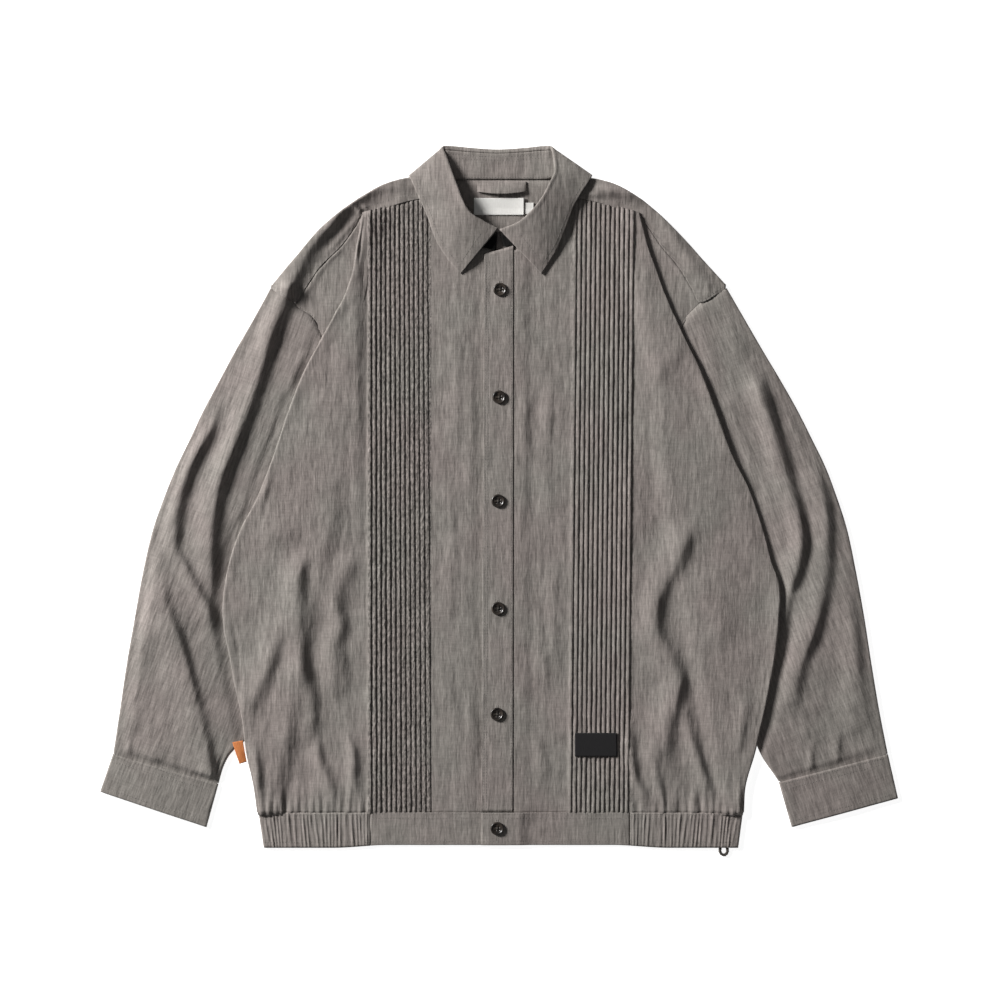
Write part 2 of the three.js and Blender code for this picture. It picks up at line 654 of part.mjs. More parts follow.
function cuff({ key, side }) {
  const corner = ([w, y]) => new THREE.Vector3(w, y, 0);
  const sleeveOuter = corner(SLEEVE_EDGE[key].outer.at(-1));
  const sleeveInner = corner(SLEEVE_EDGE[key].inner.at(-1));
  const endOuter = corner(CUFF[key].outer);
  const endInner = corner(CUFF[key].inner);
  const surface = (u, v) => {
    const start = 0.02 + 0.98 * v;
    const outer = sleeveOuter.clone().lerp(endOuter, start);
    const inner = sleeveInner.clone().lerp(endInner, start);
    const inwards = inner.clone().sub(outer).normalize();
    outer.addScaledVector(inwards, CUFF_RADIUS + CUFF_WALL / 2);
    inner.addScaledVector(inwards, -CUFF_RADIUS - CUFF_WALL / 2);
    const part = clamp(Math.floor(u), 0, 3);
    const t = u - part;
    const angle = t * Math.PI;
    let place;
    let z;
    if (part === 0) {
      place = inner.lerp(outer, t);
      z = CUFF_FLOOR;
    } else if (part === 1) {
      place = outer.addScaledVector(inwards, -CUFF_RADIUS * Math.sin(angle));
      z = CUFF_FLOOR + CUFF_RADIUS * (1 - Math.cos(angle));
    } else if (part === 2) {
      place = outer.lerp(inner, t);
      z = CUFF_FLOOR + 2 * CUFF_RADIUS + 1.2 * Math.sin(angle) ** 2;
    } else {
      place = inner.addScaledVector(inwards, CUFF_RADIUS * Math.sin(angle));
      z = CUFF_FLOOR + CUFF_RADIUS * (1 + Math.cos(angle));
    }
    return new THREE.Vector3(side * place.x, place.y, z);
  };
  const around = columns(
    [0, ...spread(1, 2, 4), ...spread(2, 3, 8).slice(1), 3.25, 3.5, 3.75],
    spread(0, 1, 2),
  );
  const options = { outer: around, inner: around, thickness: CUFF_WALL, facing: side, ring: 4 };
  return wall(`cuff_${key}`, cloth, surface, options);
}

// Placket: the folded band on the left front edge, over the right front.
const PLACKET = { hemIn: -21, topIn: -18, hemOut: 12.6, topOut: 13.2, top: 263 };
const Z_PLACKET = 4.1;
function placket() {
  const surface = (u, v) => {
    const left = lerp(PLACKET.topIn, PLACKET.hemIn, v);
    const right = lerp(PLACKET.topOut, PLACKET.hemOut, v);
    const y = lerp(PLACKET.top, HEM_Y + GAP, v);
    return new THREE.Vector3(lerp(left, right, u), y, Z_PLACKET);
  };
  return plate('placket', cloth, surface, spread(0, 1, 2), spread(0, 1, 8), { thickness: BAND_WALL });
}

// Collar lines from the centre front on the wearer's right, round the neck, to the
// centre front on the left. Fold is the top edge, seam joins the stand to the neckline,
// and edge is the outer edge of the leaf.
const COLLAR = [
  { fold: [-3.5, 289, 14], seam: [-5, 266, 4.4], edge: [-43, 242, 4.8] },
  { fold: [-19, 297, 15], seam: [-30, 274, 4.6], edge: [-50, 249, 5.2] },
  { fold: [-33, 306, 16], seam: [-47, 286, 4.8], edge: [-58, 259, 5.6] },
  { fold: [-41, 319, 16], seam: [-57, 303, 5.0], edge: [-70, 279, 6.2] },
  { fold: [-46, 332, 15], seam: [-62, 320, 5.2], edge: [-79, 304, 6.8] },
  { fold: [-52, 348, 12.5], seam: [-63, 332, 5.2], edge: [-89, 326, 7.4] },
  { fold: [-58, 365, 9], seam: [-62, 341, 4.8], edge: [-95, 340, 6.6] },
  { fold: [-62, 377, 5.5], seam: [-56, 344, 3.6], edge: [-98, 347, 3.8] },
  { fold: [-54, 378, 2.2], seam: [-46, 343.2, 3.0], edge: [-82, 341, 0.9] },
  { fold: [-30, 376, 1.6], seam: [-26, 343.2, 2.8], edge: [-42, 333, 0.9] },
  { fold: [-4, 374.5, 1.6], seam: [0, 343.2, 2.8], edge: [-2, 331, 0.9] },
  { fold: [24, 376, 1.6], seam: [26, 343.2, 2.8], edge: [38, 333, 0.9] },
  { fold: [46, 378, 2.2], seam: [46, 343.2, 3.0], edge: [80, 341, 0.9] },
  { fold: [54, 377, 5.5], seam: [56, 344, 3.6], edge: [98, 347, 3.8] },
  { fold: [57, 364, 9], seam: [62, 341, 4.8], edge: [94, 340, 6.6] },
  { fold: [58, 351, 12.5], seam: [64, 332, 5.2], edge: [86, 328, 7.4] },
  { fold: [53, 339, 15], seam: [62, 320, 5.2], edge: [77, 312, 6.8] },
  { fold: [44, 322, 16], seam: [57, 303, 5.0], edge: [69, 290, 6.2] },
  { fold: [33, 308, 16], seam: [47, 286, 4.8], edge: [59, 266, 5.6] },
  { fold: [19, 296, 15], seam: [30, 274, 4.6], edge: [50, 251, 5.2] },
  { fold: [-1, 288, 14], seam: [3, 266, 4.4], edge: [44, 241, 4.8] },
];
const collarLine = (column) => {
  const points = COLLAR.map((row) => new THREE.Vector3(...row[column]));
  const curve = new THREE.CatmullRomCurve3(points, false, 'centripetal');
  return (t) => curve.getPoint(clamp(t, 0, 1));
};
const foldLine = collarLine('fold');
const seamLine = collarLine('seam');
const leafLine = collarLine('edge');

function collarLeaf() {
  const surface = (u, v) => {
    const place = foldLine(u).lerp(leafLine(u), v);
    place.z += 1.2 * Math.sin(Math.PI * clamp(v, 0, 1)) * smooth((foldLine(u).z - 4) / 8);
    place.z = Math.max(place.z, COLLAR_WALL / 2);
    return place;
  };
  const options = { thickness: COLLAR_WALL, facing: 1 };
  return plate('collar_leaf', cloth, surface, spread(0, 1, 40), [0, 0.12, 0.35, 0.65, 1], options);
}

function collarStand() {
  const start = 0.115;
  const surface = (u, v) => {
    const top = foldLine(u).lerp(seamLine(u), start);
    const drop = smooth((foldLine(u).z - 3) / 4);
    top.z += lerp(1.5, -2.0, drop);
    return top.lerp(seamLine(u), v);
  };
  const options = { thickness: COLLAR_WALL, facing: 1 };
  return plate('collar_stand', darkCloth, surface, spread(0, 1, 40), [0, 0.33, 0.67, 1], options);
}

// Hem band. The middle of the front is flat: the left part laps over the right.
const BAND_TOP = HEM_Y - GAP;
const BAND_BOTTOM = { middle: -369, side: -372 };
const BAND_SEAM = 140;
const ELASTIC_WALL = 1.8;
const Z_BAND = 3.2;
const bandY = (w, v) => {
  const low = lerp(BAND_BOTTOM.middle, BAND_BOTTOM.side, smooth((w - 120) / 60));
  return lerp(BAND_TOP, low, v);
};

function hemBandRight() {
  const surface = (u, v) => {
    const w = lerp(BAND_SEAM - GAP / 2, INNER_EDGE.right, u);
    return new THREE.Vector3(-w, bandY(w, v), Z_BAND);
  };
  return plate('hem_band_right', cloth, surface, spread(0, 1, 6), spread(0, 1, 3), { thickness: BAND_WALL });
}

function hemBandLeft() {
  const surface = (u, v) => {
    const w = lerp(PLACKET.hemIn, BAND_SEAM - 2, u);
    const lap = (BAND_WALL + GAP) * smooth((34 - w) / 16);
    return new THREE.Vector3(w, bandY(w, v), Z_BAND + lap);
  };
  const us = [0, 0.1, 0.2, 0.24, 0.28, 0.31, 0.35, 0.6, 1];
  return plate('hem_band_left', cloth, surface, us, spread(0, 1, 3), { thickness: BAND_WALL });
}

// The gathered part runs from one flat part round the side, across the back and round
// the other side. Its gathers are raised on the front.
const GATHERS = 20;
const GATHER_RISE = 1.1;
function hemBandElastic() {
  const radius = 1.4;
  const low = ELASTIC_WALL / 2;
  const surface = (u, v) => {
    const part = clamp(Math.floor(u), 0, 4);
    const t = u - part;
    const side = part < 2 || (part === 2 && t < 0.5) ? -1 : 1;
    const reach = lerp(part < 2 || side < 0 ? 259.5 : 259, 254, v);
    const centre = reach - radius - ELASTIC_WALL / 2;
    const seam = part < 2 ? BAND_SEAM + GAP / 2 : BAND_SEAM - 2 + GAP;
    let w;
    let z;
    if (part === 0 || part === 4) {
      w = lerp(seam, centre, part === 0 ? t : 1 - t);
      z = low + 2 * radius;
    } else if (part === 1 || part === 3) {
      const angle = (part === 1 ? t : 1 - t) * Math.PI;
      w = centre + radius * Math.sin(angle);
      z = low + radius * (1 + Math.cos(angle));
    } else {
      w = centre * Math.abs(2 * t - 1);
      z = low;
    }
    return new THREE.Vector3(side * w, bandY(w, v), z);
  };
  const waves = spread(0, 1, GATHERS * 2);
  const relief = (u) => {
    const front = u < 1 ? u : u - 4;
    if (front < 0 || front > 1) return 0;
    return Math.round(front * GATHERS * 2) % 2 ? GATHER_RISE : 0;
  };
  const turns = (from) => spread(from, from + 1, 4).slice(1, -1);
  const outerU = [...waves, ...turns(1), 2, 2.25, 2.5, 2.75, 3, ...turns(3), ...waves.map((t) => 4 + t)];
  const flat = spread(0, 1, GATHERS / 2);
  const innerU = [...flat, ...turns(1), 2, 2.25, 2.5, 2.75, 3, ...turns(3), ...flat.map((t) => 4 + t)];
  const rows = [0, 0.25, 1];
  const options = {
    outer: columns(outerU, rows),
    inner: columns(innerU, rows),
    thickness: ELASTIC_WALL,
    facing: 1,
    relief,
  };
  return wall('hem_band_elastic', cloth, surface, options);
}

// Buttons: dished discs down the placket, the last one on the hem band.
const BUTTON = { radius: 7.2, thickness: 2.4, rim: 1.5 };
const BUTTON_PLACES = [
  [-1, 225], [-2, 110], [-3, -1], [-3, -116], [-4, -229], [-4, -351],
];
function button([x, y], index) {
  const { radius, thickness, rim } = BUTTON;
  const profile = [
    [0, 0], [radius - 0.8, 0], [radius, 0.9], [radius - 0.5, thickness], [radius - rim, thickness],
    [radius - rim - 0.8, thickness - 0.8], [0, thickness - 0.8],
  ];
  const geometry = new THREE.LatheGeometry(profile.map(([r, z]) => new THREE.Vector2(r, z)), 18);
  geometry.rotateX(Math.PI / 2);
  const mesh = new THREE.Mesh(geometry, horn);
  const base = y < HEM_Y ? Z_BAND + BAND_WALL + GAP : Z_PLACKET;
  mesh.position.set(x, y, base + BAND_WALL / 2 + GAP);
  mesh.name = `button_${index + 1}`;
  return mesh;
}

// Labels and tapes: thin plates that follow what they lie on.
function label(name, material, { x, y, width, height }, heightAt, thickness = 1) {
  const surface = (u, v) => {
    const px = x + (u - 0.5) * width;
    const py = y - (v - 0.5) * height;
    return new THREE.Vector3(px, py, heightAt(px, py) + GAP + thickness / 2);
  };
  return plate(name, material, surface, spread(0, 1, 4), spread(0, 1, 4), { thickness });
}
const yokeTop = (x, y) => WALL + yokeRaise(x, y);

function hangerLoop() {
  const arch = 2.5;
  const surface = (u, v) => {
    const x = lerp(-25, 27, u);
    const y = lerp(340.5, 329.5, v) - 2.5 * Math.sin(Math.PI * clamp(u, 0, 1)) * v;
    const lift = arch * Math.sin(Math.PI * clamp(u, 0, 1)) * v;
    return new THREE.Vector3(x, y, yokeTop(x, y) + GAP + 0.5 + lift);
  };
  return plate('hanger_loop', cloth, surface, spread(0, 1, 10), spread(0, 1, 3), { thickness: 1 });
}

// The tape tab comes out of the right side seam, over the edge of the sleeve.
function sideTab() {
  const reach = 286.5;
  const surface = (u, v) => {
    const y = lerp(-258, -280, v);
    const w = lerp(read(BODY.right, 'y', 'fold', y) + GAP, reach, u);
    return new THREE.Vector3(-w, y, 4.9);
  };
  return plate('side_tab', orangeTape, surface, spread(0, 1, 3), spread(0, 1, 4), { thickness: 1.2 });
}

function hemLoop() {
  const loop = new THREE.CatmullRomCurve3([
    [233.5, -372.5], [232.5, -377], [235, -380.5], [238.5, -381.5], [242, -380.5], [244.5, -377],
    [243.5, -372.5],
  ].map(([x, y]) => new THREE.Vector3(x, y, 1.3)));
  const section = new THREE.Shape();
  section.absellipse(0, 0, 1, 1, 0, Math.PI * 2);
  const geometry = new THREE.ExtrudeGeometry(section, {
    extrudePath: loop,
    steps: 12,
    curveSegments: 6,
    bevelEnabled: false,
  });
  const mesh = new THREE.Mesh(geometry, cord);
  mesh.name = 'hem_loop';
  return mesh;
}

garment.add(back());
garment.add(yoke());
for (const at of sides) {
  garment.add(front(at));
  garment.add(sleeve(at));
  garment.add(cuff(at));
}
garment.add(placket());
garment.add(collarLeaf());
garment.add(collarStand());
garment.add(hemBandRight());
garment.add(hemBandLeft());
garment.add(hemBandElastic());
BUTTON_PLACES.forEach((place, index) => garment.add(button(place, index)));
garment.add(label('neck_label', whiteTape, { x: -2, y: 314, width: 54, height: 18 }, yokeTop));
garment.add(label('size_tab', whiteTape, { x: 30.4, y: 312, width: 9, height: 12 }, yokeTop));
garment.add(hangerLoop());
const tuckTop = () => Z_FRONT + HALF + TUCK_RISE;
garment.add(label('front_label', blackTape, { x: 101.5, y: -261.5, width: 45, height: 25 }, tuckTop));
garment.add(sideTab());
garment.add(hemLoop());

export default garment;
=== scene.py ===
import math

import bmesh
import bpy
import numpy as np
from mathutils import Matrix, Vector


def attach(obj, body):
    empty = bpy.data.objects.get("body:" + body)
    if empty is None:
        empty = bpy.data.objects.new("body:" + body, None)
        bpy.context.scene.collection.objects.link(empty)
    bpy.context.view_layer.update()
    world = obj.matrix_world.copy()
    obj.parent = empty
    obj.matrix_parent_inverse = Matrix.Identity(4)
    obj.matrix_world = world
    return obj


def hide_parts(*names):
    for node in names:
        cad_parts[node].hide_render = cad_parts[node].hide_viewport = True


# Shirt jacket laid flat on its back, buttoned up. Lengths are millimetres in the part's own
# frame until a mesh is made: +Y runs from hem to collar, the wearer's left is at +X and +Z
# is up. Places across the body are given as w, the distance outwards from the centre line.
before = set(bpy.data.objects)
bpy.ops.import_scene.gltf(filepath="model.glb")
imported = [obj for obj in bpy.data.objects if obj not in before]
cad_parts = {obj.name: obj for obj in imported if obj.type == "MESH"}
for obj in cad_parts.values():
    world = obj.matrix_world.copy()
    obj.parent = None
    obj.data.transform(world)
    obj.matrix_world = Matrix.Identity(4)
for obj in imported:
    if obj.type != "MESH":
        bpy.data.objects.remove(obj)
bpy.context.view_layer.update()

MM = 0.001
WALL = 1.0
GAP = 0.3
SOLID_HALF = 0.6

Z_FLOOR_LAYER = 0.6
Z_SLEEVE_TOP = 2.2
Z_WING = 2.1
Z_UNDERLAP = 2.1
Z_FRONT = 2.9
Z_RETURN = 4.3
Z_OVERHANG = 6.3

HEM_Y = -334
YOKE_SEAM_Y = 205
SHOULDER_SEAM_Y = 304


# Putting things into the scene
def placed(name, data):
    item = bpy.data.objects.new(name, data)
    bpy.context.scene.collection.objects.link(item)
    return item


def mesh_from(bm, name):
    mesh = bpy.data.meshes.new(name)
    bm.to_mesh(mesh)
    bm.free()
    return mesh


# Camera, floor and light
PHOTO_SPAN = 1.07
PHOTO_CENTRE_X = -0.001
CAMERA_HEIGHT = 3.0
FLOOR_HALF = 20


def make_camera():
    data = bpy.data.cameras.new("camera")
    data.sensor_width = 36
    data.lens = data.sensor_width * (CAMERA_HEIGHT - Z_FRONT * MM) / PHOTO_SPAN
    camera = placed("camera", data)
    camera.location = (PHOTO_CENTRE_X, 0, CAMERA_HEIGHT)
    bpy.context.scene.camera = camera


def area_light(name, place, size, power, colour=(1, 1, 1)):
    data = bpy.data.lights.new(name, "AREA")
    data.size = size
    data.energy = power
    data.color = colour
    light = placed(name, data)
    light.location = place
    light.rotation_euler = (-Vector(place)).to_track_quat("-Z", "Y").to_euler()


def make_lights():
    area_light("key", (-4.2, 2.2, 2.2), size=1.32, power=550, colour=(1.0, 0.99, 0.975))
    area_light("fill", (0.4, -0.2, 4.2), size=3.0, power=6.5)
    make_backdrop()


def make_backdrop():
    """A room that is pale to look at and lights the garment only a little."""
    world = bpy.data.worlds.new("studio")
    world.use_nodes = True
    tree = world.node_tree
    room = tree.nodes["Background"]
    room.inputs["Color"].default_value = (0.96, 0.98, 1.0, 1)
    room.inputs["Strength"].default_value = 0.075
    seen = tree.nodes.new("ShaderNodeBackground")
    seen.inputs["Color"].default_value = (1, 1, 1, 1)
    path = tree.nodes.new("ShaderNodeLightPath")
    choice = tree.nodes.new("ShaderNodeMixShader")
    tree.links.new(path.outputs["Is Camera Ray"], choice.inputs[0])
    tree.links.new(room.outputs[0], choice.inputs[1])
    tree.links.new(seen.outputs[0], choice.inputs[2])
    tree.links.new(choice.outputs[0], tree.nodes["World Output"].inputs["Surface"])
    bpy.context.scene.world = world
    bpy.context.scene.view_settings.view_transform = "Standard"


# Shader maths
class Value:
    """A socket of a finish, so that its maths reads as an expression."""

    def __init__(self, finish, socket):
        self.finish = finish
        self.socket = socket

    def math(self, operation, a, b):
        return self.finish.node("ShaderNodeMath", {"operation": operation}, {0: a, 1: b})

    def __add__(self, other):
        return self.math("ADD", self, other)

    def __radd__(self, other):
        return self.math("ADD", other, self)

    def __sub__(self, other):
        return self.math("SUBTRACT", self, other)

    def __rsub__(self, other):
        return self.math("SUBTRACT", other, self)

    def __mul__(self, other):
        return self.math("MULTIPLY", self, other)

    def __rmul__(self, other):
        return self.math("MULTIPLY", other, self)

    def above(self, level):
        return self.math("GREATER_THAN", self, level)

    def size(self):
        return self.math("ABSOLUTE", self, 0)


class Finish:
    """A material under construction."""

    def __init__(self, name, roughness, sheen=0.0, specular=0.5):
        self.material = bpy.data.materials.new(name)
        self.material.use_nodes = True
        self.tree = self.material.node_tree
        self.shader = self.tree.nodes["Principled BSDF"]
        self.put(self.shader.inputs["Roughness"], roughness)
        self.put(self.shader.inputs["Sheen Weight"], sheen)
        self.put(self.shader.inputs["Sheen Roughness"], 0.5)
        self.put(self.shader.inputs["Specular IOR Level"], specular)

    def put(self, socket, value):
        if isinstance(value, Value):
            self.tree.links.new(value.socket, socket)
        else:
            socket.default_value = value

    def node(self, kind, settings=None, inputs=None, output=0):
        node = self.tree.nodes.new(kind)
        for key, value in (settings or {}).items():
            if key == "stops":
                for element, (place, colour) in zip(node.color_ramp.elements, value):
                    element.position = place
                    element.color = colour
            else:
                setattr(node, key, value)
        for key, value in (inputs or {}).items():
            self.put(node.inputs[key], value)
        return Value(self, node.outputs[output])

    def cloth_place(self):
        return self.node("ShaderNodeUVMap", {"uv_map": "cloth"})

    def object_place(self):
        return self.node("ShaderNodeTexCoord", output=3)

    def object_axis(self, axis):
        return self.node("ShaderNodeSeparateXYZ", {}, {0: self.object_place()}, output=axis)

    def stretched(self, place, across, along):
        scaled = {"Vector": place, "Scale": (across, along, 1)}
        return self.node("ShaderNodeMapping", {"vector_type": "POINT"}, scaled)

    def noise(self, place, scale=1.0, detail=2.0, roughness=0.5):
        inputs = {"Vector": place, "Scale": scale, "Detail": detail, "Roughness": roughness}
        return self.node("ShaderNodeTexNoise", {"noise_dimensions": "3D"}, inputs)

    def ramp(self, factor, low, high):
        stops = [(low, (0, 0, 0, 1)), (high, (1, 1, 1, 1))]
        return self.node("ShaderNodeValToRGB", {"stops": stops}, {"Fac": factor})

    def blend(self, factor, first, second, kind="MIX"):
        settings = {"data_type": "RGBA", "blend_type": kind}
        return self.node("ShaderNodeMix", settings, {0: factor, 6: first, 7: second}, output=2)

    def colour(self, value):
        self.put(self.shader.inputs["Base Color"], value)

    def bump(self, height, distance, strength=1.0):
        inputs = {"Height": height, "Distance": distance, "Strength": strength}
        self.put(self.shader.inputs["Normal"], self.node("ShaderNodeBump", {}, inputs))


def soft_cloth(name):
    return Finish(name, 0.88, sheen=0.1, specular=0.2)


def weave_cloth(finish, mottle=0.0):
    """A plain weave of uneven yarns, long soft crinkles along it and a faint cloud of tint."""
    place = finish.cloth_place()
    warp = finish.noise(finish.stretched(place, 540, 60), detail=4, roughness=0.7)
    weft = finish.noise(finish.stretched(place, 70, 540), detail=4, roughness=0.7)
    slub = finish.noise(finish.stretched(place, 210, 16), detail=3)
    cloudy = finish.noise(finish.object_place(), scale=11, detail=3)
    dark = (0.095, 0.085, 0.079, 1)
    light = (0.36, 0.327, 0.309, 1)
    yarns = 0.58 * warp + 0.22 * weft + 0.2 * slub
    colour = finish.blend(finish.ramp(yarns, 0.3, 0.7), dark, light)
    pink = (1.02, 0.985, 0.98, 1)
    green = (0.975, 1.0, 0.975, 1)
    tint = finish.blend(finish.ramp(cloudy, 0.38, 0.62), green, pink)
    crinkle = finish.noise(finish.stretched(place, 135, 32), detail=3)
    dimple = finish.noise(finish.stretched(place, 60, 48), detail=2)
    finish.bump(0.2 * warp + 0.1 * weft + 0.85 * crinkle + 0.5 * dimple + mottle, 0.0015, 0.85)
    return finish.blend(1.0, colour, tint, "MULTIPLY")


def cloth_finish():
    finish = soft_cloth("grey_slub_cloth")
    finish.colour(weave_cloth(finish))
    return finish.material


# Places that the finishes look for, in metres
STRIP_START_X = 0.0745
STRIP_END_X = 0.1425
SHADED_THROAT_Y = 0.287


def front_finish():
    """The same cloth, mottled where it is puckered between the rows of tucks, with painted shade darkening
    the tucked strips, more on the wearer's right.
    """
    finish = soft_cloth("grey_tucked_cloth_painted_shade")
    across = finish.object_axis(0)
    away = across.size()
    tucked = away.above(STRIP_START_X) - away.above(STRIP_END_X)
    # painted shade is full on the wearer's right strip and weaker on the wearer's left
    strength = tucked * (1 - 0.6 * across.above(0.0))
    speck = finish.ramp(finish.noise(finish.stretched(finish.cloth_place(), 400, 210)), 0.36, 0.62)
    colour = weave_cloth(finish, 0.35 * strength * speck)
    # painted shade: the colour is darkened in patches over the tucked strips
    finish.colour(finish.blend(1.0, colour, 1 - 0.5 * strength * (1 - speck), "MULTIPLY"))
    return finish.material


def stand_finish():
    """The same cloth, with painted shade near black where the stand goes down between the collar's points.
    """
    finish = soft_cloth("grey_stand_cloth_painted_shade")
    cloth_colour = weave_cloth(finish)
    up = finish.object_axis(1)
    open_to_light = finish.ramp(up, SHADED_THROAT_Y - 0.004, SHADED_THROAT_Y + 0.012)
    # painted shade: near-black colour below the throat line, the cloth's weave above it
    finish.colour(finish.blend(open_to_light, (0.004, 0.0038, 0.0036, 1), cloth_colour))
    return finish.material


def tape_finish(name, dark, light, roughness=0.7):
    finish = Finish(name, roughness, sheen=0.1, specular=0.3)
    place = finish.cloth_place()
    ribs = finish.node("ShaderNodeTexWave", {"bands_direction": "Y"}, {"Vector": place, "Scale": 320})
    yarn = finish.noise(finish.stretched(place, 1300, 160), detail=2)
    finish.colour(finish.blend(finish.ramp(0.5 * ribs + 0.5 * yarn, 0.25, 0.8), dark, light))
    finish.bump(ribs + yarn, 0.00015, 0.6)
    return finish.material


def horn_finish():
    finish = Finish("dark_horn", 0.3, specular=0.5)
    cloud = finish.noise(finish.object_place(), scale=160, detail=4)
    dark, light = (0.012, 0.01, 0.009, 1), (0.05, 0.038, 0.03, 1)
    finish.colour(finish.blend(finish.ramp(cloud, 0.35, 0.7), dark, light))
    finish.put(finish.shader.inputs["Roughness"], 0.22 + 0.25 * cloud)
    finish.bump(cloud, 0.0002, 0.4)
    return finish.material


def thread_finish(name, dark, light):
    finish = Finish(name, 0.75, sheen=0.2, specular=0.3)
    strands = finish.noise(finish.object_place(), scale=900, detail=2)
    finish.colour(finish.blend(finish.ramp(strands, 0.35, 0.65), dark, light))
    finish.bump(strands, 0.0001, 0.5)
    return finish.material


def floor_finish():
    finish = Finish("pale_floor", 0.9, specular=0.0)
    paper = finish.noise(finish.object_place(), scale=40, detail=2)
    grey, pale = (0.9, 0.9, 0.9, 1), (0.93, 0.93, 0.93, 1)
    finish.colour(finish.blend(finish.ramp(paper, 0.3, 0.7), grey, pale))
    finish.put(finish.shader.inputs["Emission Color"], (1, 1, 1, 1))
    finish.put(finish.shader.inputs["Emission Strength"], 0.85)
    return finish.material


# Measuring helpers
def table(names, *rows):
    """A table by column name."""
    return dict(zip(names.split(), np.array(rows, float).T))


def smooth(value):
    t = np.clip(value, 0, 1)
    return t * t * (3 - 2 * t)


def mix(a, b, t):
    return a + (b - a) * t


def bell(distance, reach):
    return np.exp(-((distance / reach) ** 2))


def window(t, start, end):
    """1 between 0 and 1, run out to 0 over a start and an end."""
    return smooth(t / start) * smooth((1 - t) / end)


def pick(condition, chosen, other):
    """Points by a condition."""
    return np.where(condition[..., None], chosen, other)


def read(rows, by, column, at):
    """One column of a table where another column has a given value, smoothly between rows."""
    xs, ys = rows[by], rows[column]
    if xs[0] > xs[-1]:
        xs, ys = xs[::-1], ys[::-1]
    at = np.clip(at, xs[0], xs[-1])
    k = np.clip(np.searchsorted(xs, at, side="right") - 1, 0, len(xs) - 2)
    before = np.maximum(k - 1, 0)
    after = np.minimum(k + 2, len(xs) - 1)
    slope_here = (ys[k + 1] - ys[before]) / (xs[k + 1] - xs[before])
    slope_next = (ys[after] - ys[k]) / (xs[after] - xs[k])
    span = xs[k + 1] - xs[k]
    t = (at - xs[k]) / span
    rise = t * (1 - t) * ((1 - t) * slope_here - t * slope_next) * span
    return mix(ys[k], ys[k + 1], smooth(t)) + rise


def unit(vector):
    return vector / np.linalg.norm(vector, axis=-1, keepdims=True)


class Curve:
    """A smooth curve through points, read by its share of points or of length."""

    def __init__(self, points):
        p = np.array(points, float)
        if p.shape[1] == 2:
            p = np.pad(p, ((0, 0), (0, 1)))
        self.p = np.vstack([2 * p[0] - p[1], p, 2 * p[-1] - p[-2]])
        share = np.linspace(0, 1, 401)
        steps = np.linalg.norm(np.diff(self.at(share), axis=0), axis=1)
        self.share = share
        self.length = np.concatenate([[0], np.cumsum(steps)])

    def at(self, t):
        last = len(self.p) - 3
        place = np.clip(np.asarray(t, float), 0, 1) * last
        k = np.minimum(place.astype(int), last - 1)
        s = (place - k)[..., None]
        x0, x1, x2, x3 = (self.p[k + n] for n in range(4))
        steps = (x1 - x0, x2 - x1, x3 - x2)
        gap = [np.linalg.norm(step, axis=-1, keepdims=True) ** 0.5 for step in steps]
        t1 = ((x1 - x0) / gap[0] - (x2 - x0) / (gap[0] + gap[1]) + (x2 - x1) / gap[1]) * gap[1]
        t2 = ((x2 - x1) / gap[1] - (x3 - x1) / (gap[1] + gap[2]) + (x3 - x2) / gap[2]) * gap[1]
        return x1 + s * (t1 + s * (3 * (x2 - x1) - 2 * t1 - t2 + s * (2 * (x1 - x2) + t1 + t2)))

    def along(self, share):
        wanted = np.clip(share, 0, 1) * self.length[-1]
        return self.at(np.interp(wanted, self.length, self.share))


def fold(height, left, right, *line):
    """A crease: its height, negative for a trough, its spread on each side and its line."""
    return {"height": height, "left": left, "right": right, "line": line}


def fold_rise(folds, x, y):
    rise = np.zeros_like(x)
    for crease in folds:
        pieces = 5 * (len(crease["line"]) - 1)
        path = Curve(crease["line"])
        line = path.at(np.linspace(0, 1, pieces + 1))
        run_out = min(0.5, 34 / path.length[-1])
        best = np.full_like(x, np.inf)
        cross = np.zeros_like(x)
        share = np.zeros_like(x)
        for k in range(pieces):
            (ax, ay, _), (bx, by, _) = line[k], line[k + 1]
            square = (bx - ax) ** 2 + (by - ay) ** 2
            t = np.clip(((x - ax) * (bx - ax) + (y - ay) * (by - ay)) / square, 0, 1)
            distance = np.hypot(x - mix(ax, bx, t), y - mix(ay, by, t))
            near = distance < best
            best = np.where(near, distance, best)
            cross = np.where(near, (bx - ax) * (y - ay) - (by - ay) * (x - ax), cross)
            share = np.where(near, (k + t) / pieces, share)
        sway = np.sin(share * path.length[-1] / 19 + 7 * crease["height"])
        reach = np.where(cross > 0, crease["right"], crease["left"]) * (1 + 0.17 * sway)
        taper = window(share, run_out, run_out)
        rise += crease["height"] * (1 - 0.13 * sway) * taper * bell(best, reach)
    return rise


def ripples(x, y, length, seed):
    """Soft irregular unevenness between about -1 and 1, of a given wave length."""
    dice = np.random.RandomState(seed)
    total = np.zeros_like(x)
    for _ in range(9):
        angle = dice.uniform(0, math.pi)
        pitch = length * dice.uniform(0.6, 1.7)
        phase = dice.uniform(0, 2 * math.pi)
        total += np.sin((x * math.cos(angle) + y * math.sin(angle)) * 2 * math.pi / pitch + phase)
    return total / 4


def unevenness(x, y, seed, *waves):
    """Ripples of several heights and lengths, each with a seed of its own."""
    return sum(height * ripples(x, y, length, seed + k) for k, (height, length) in enumerate(waves))


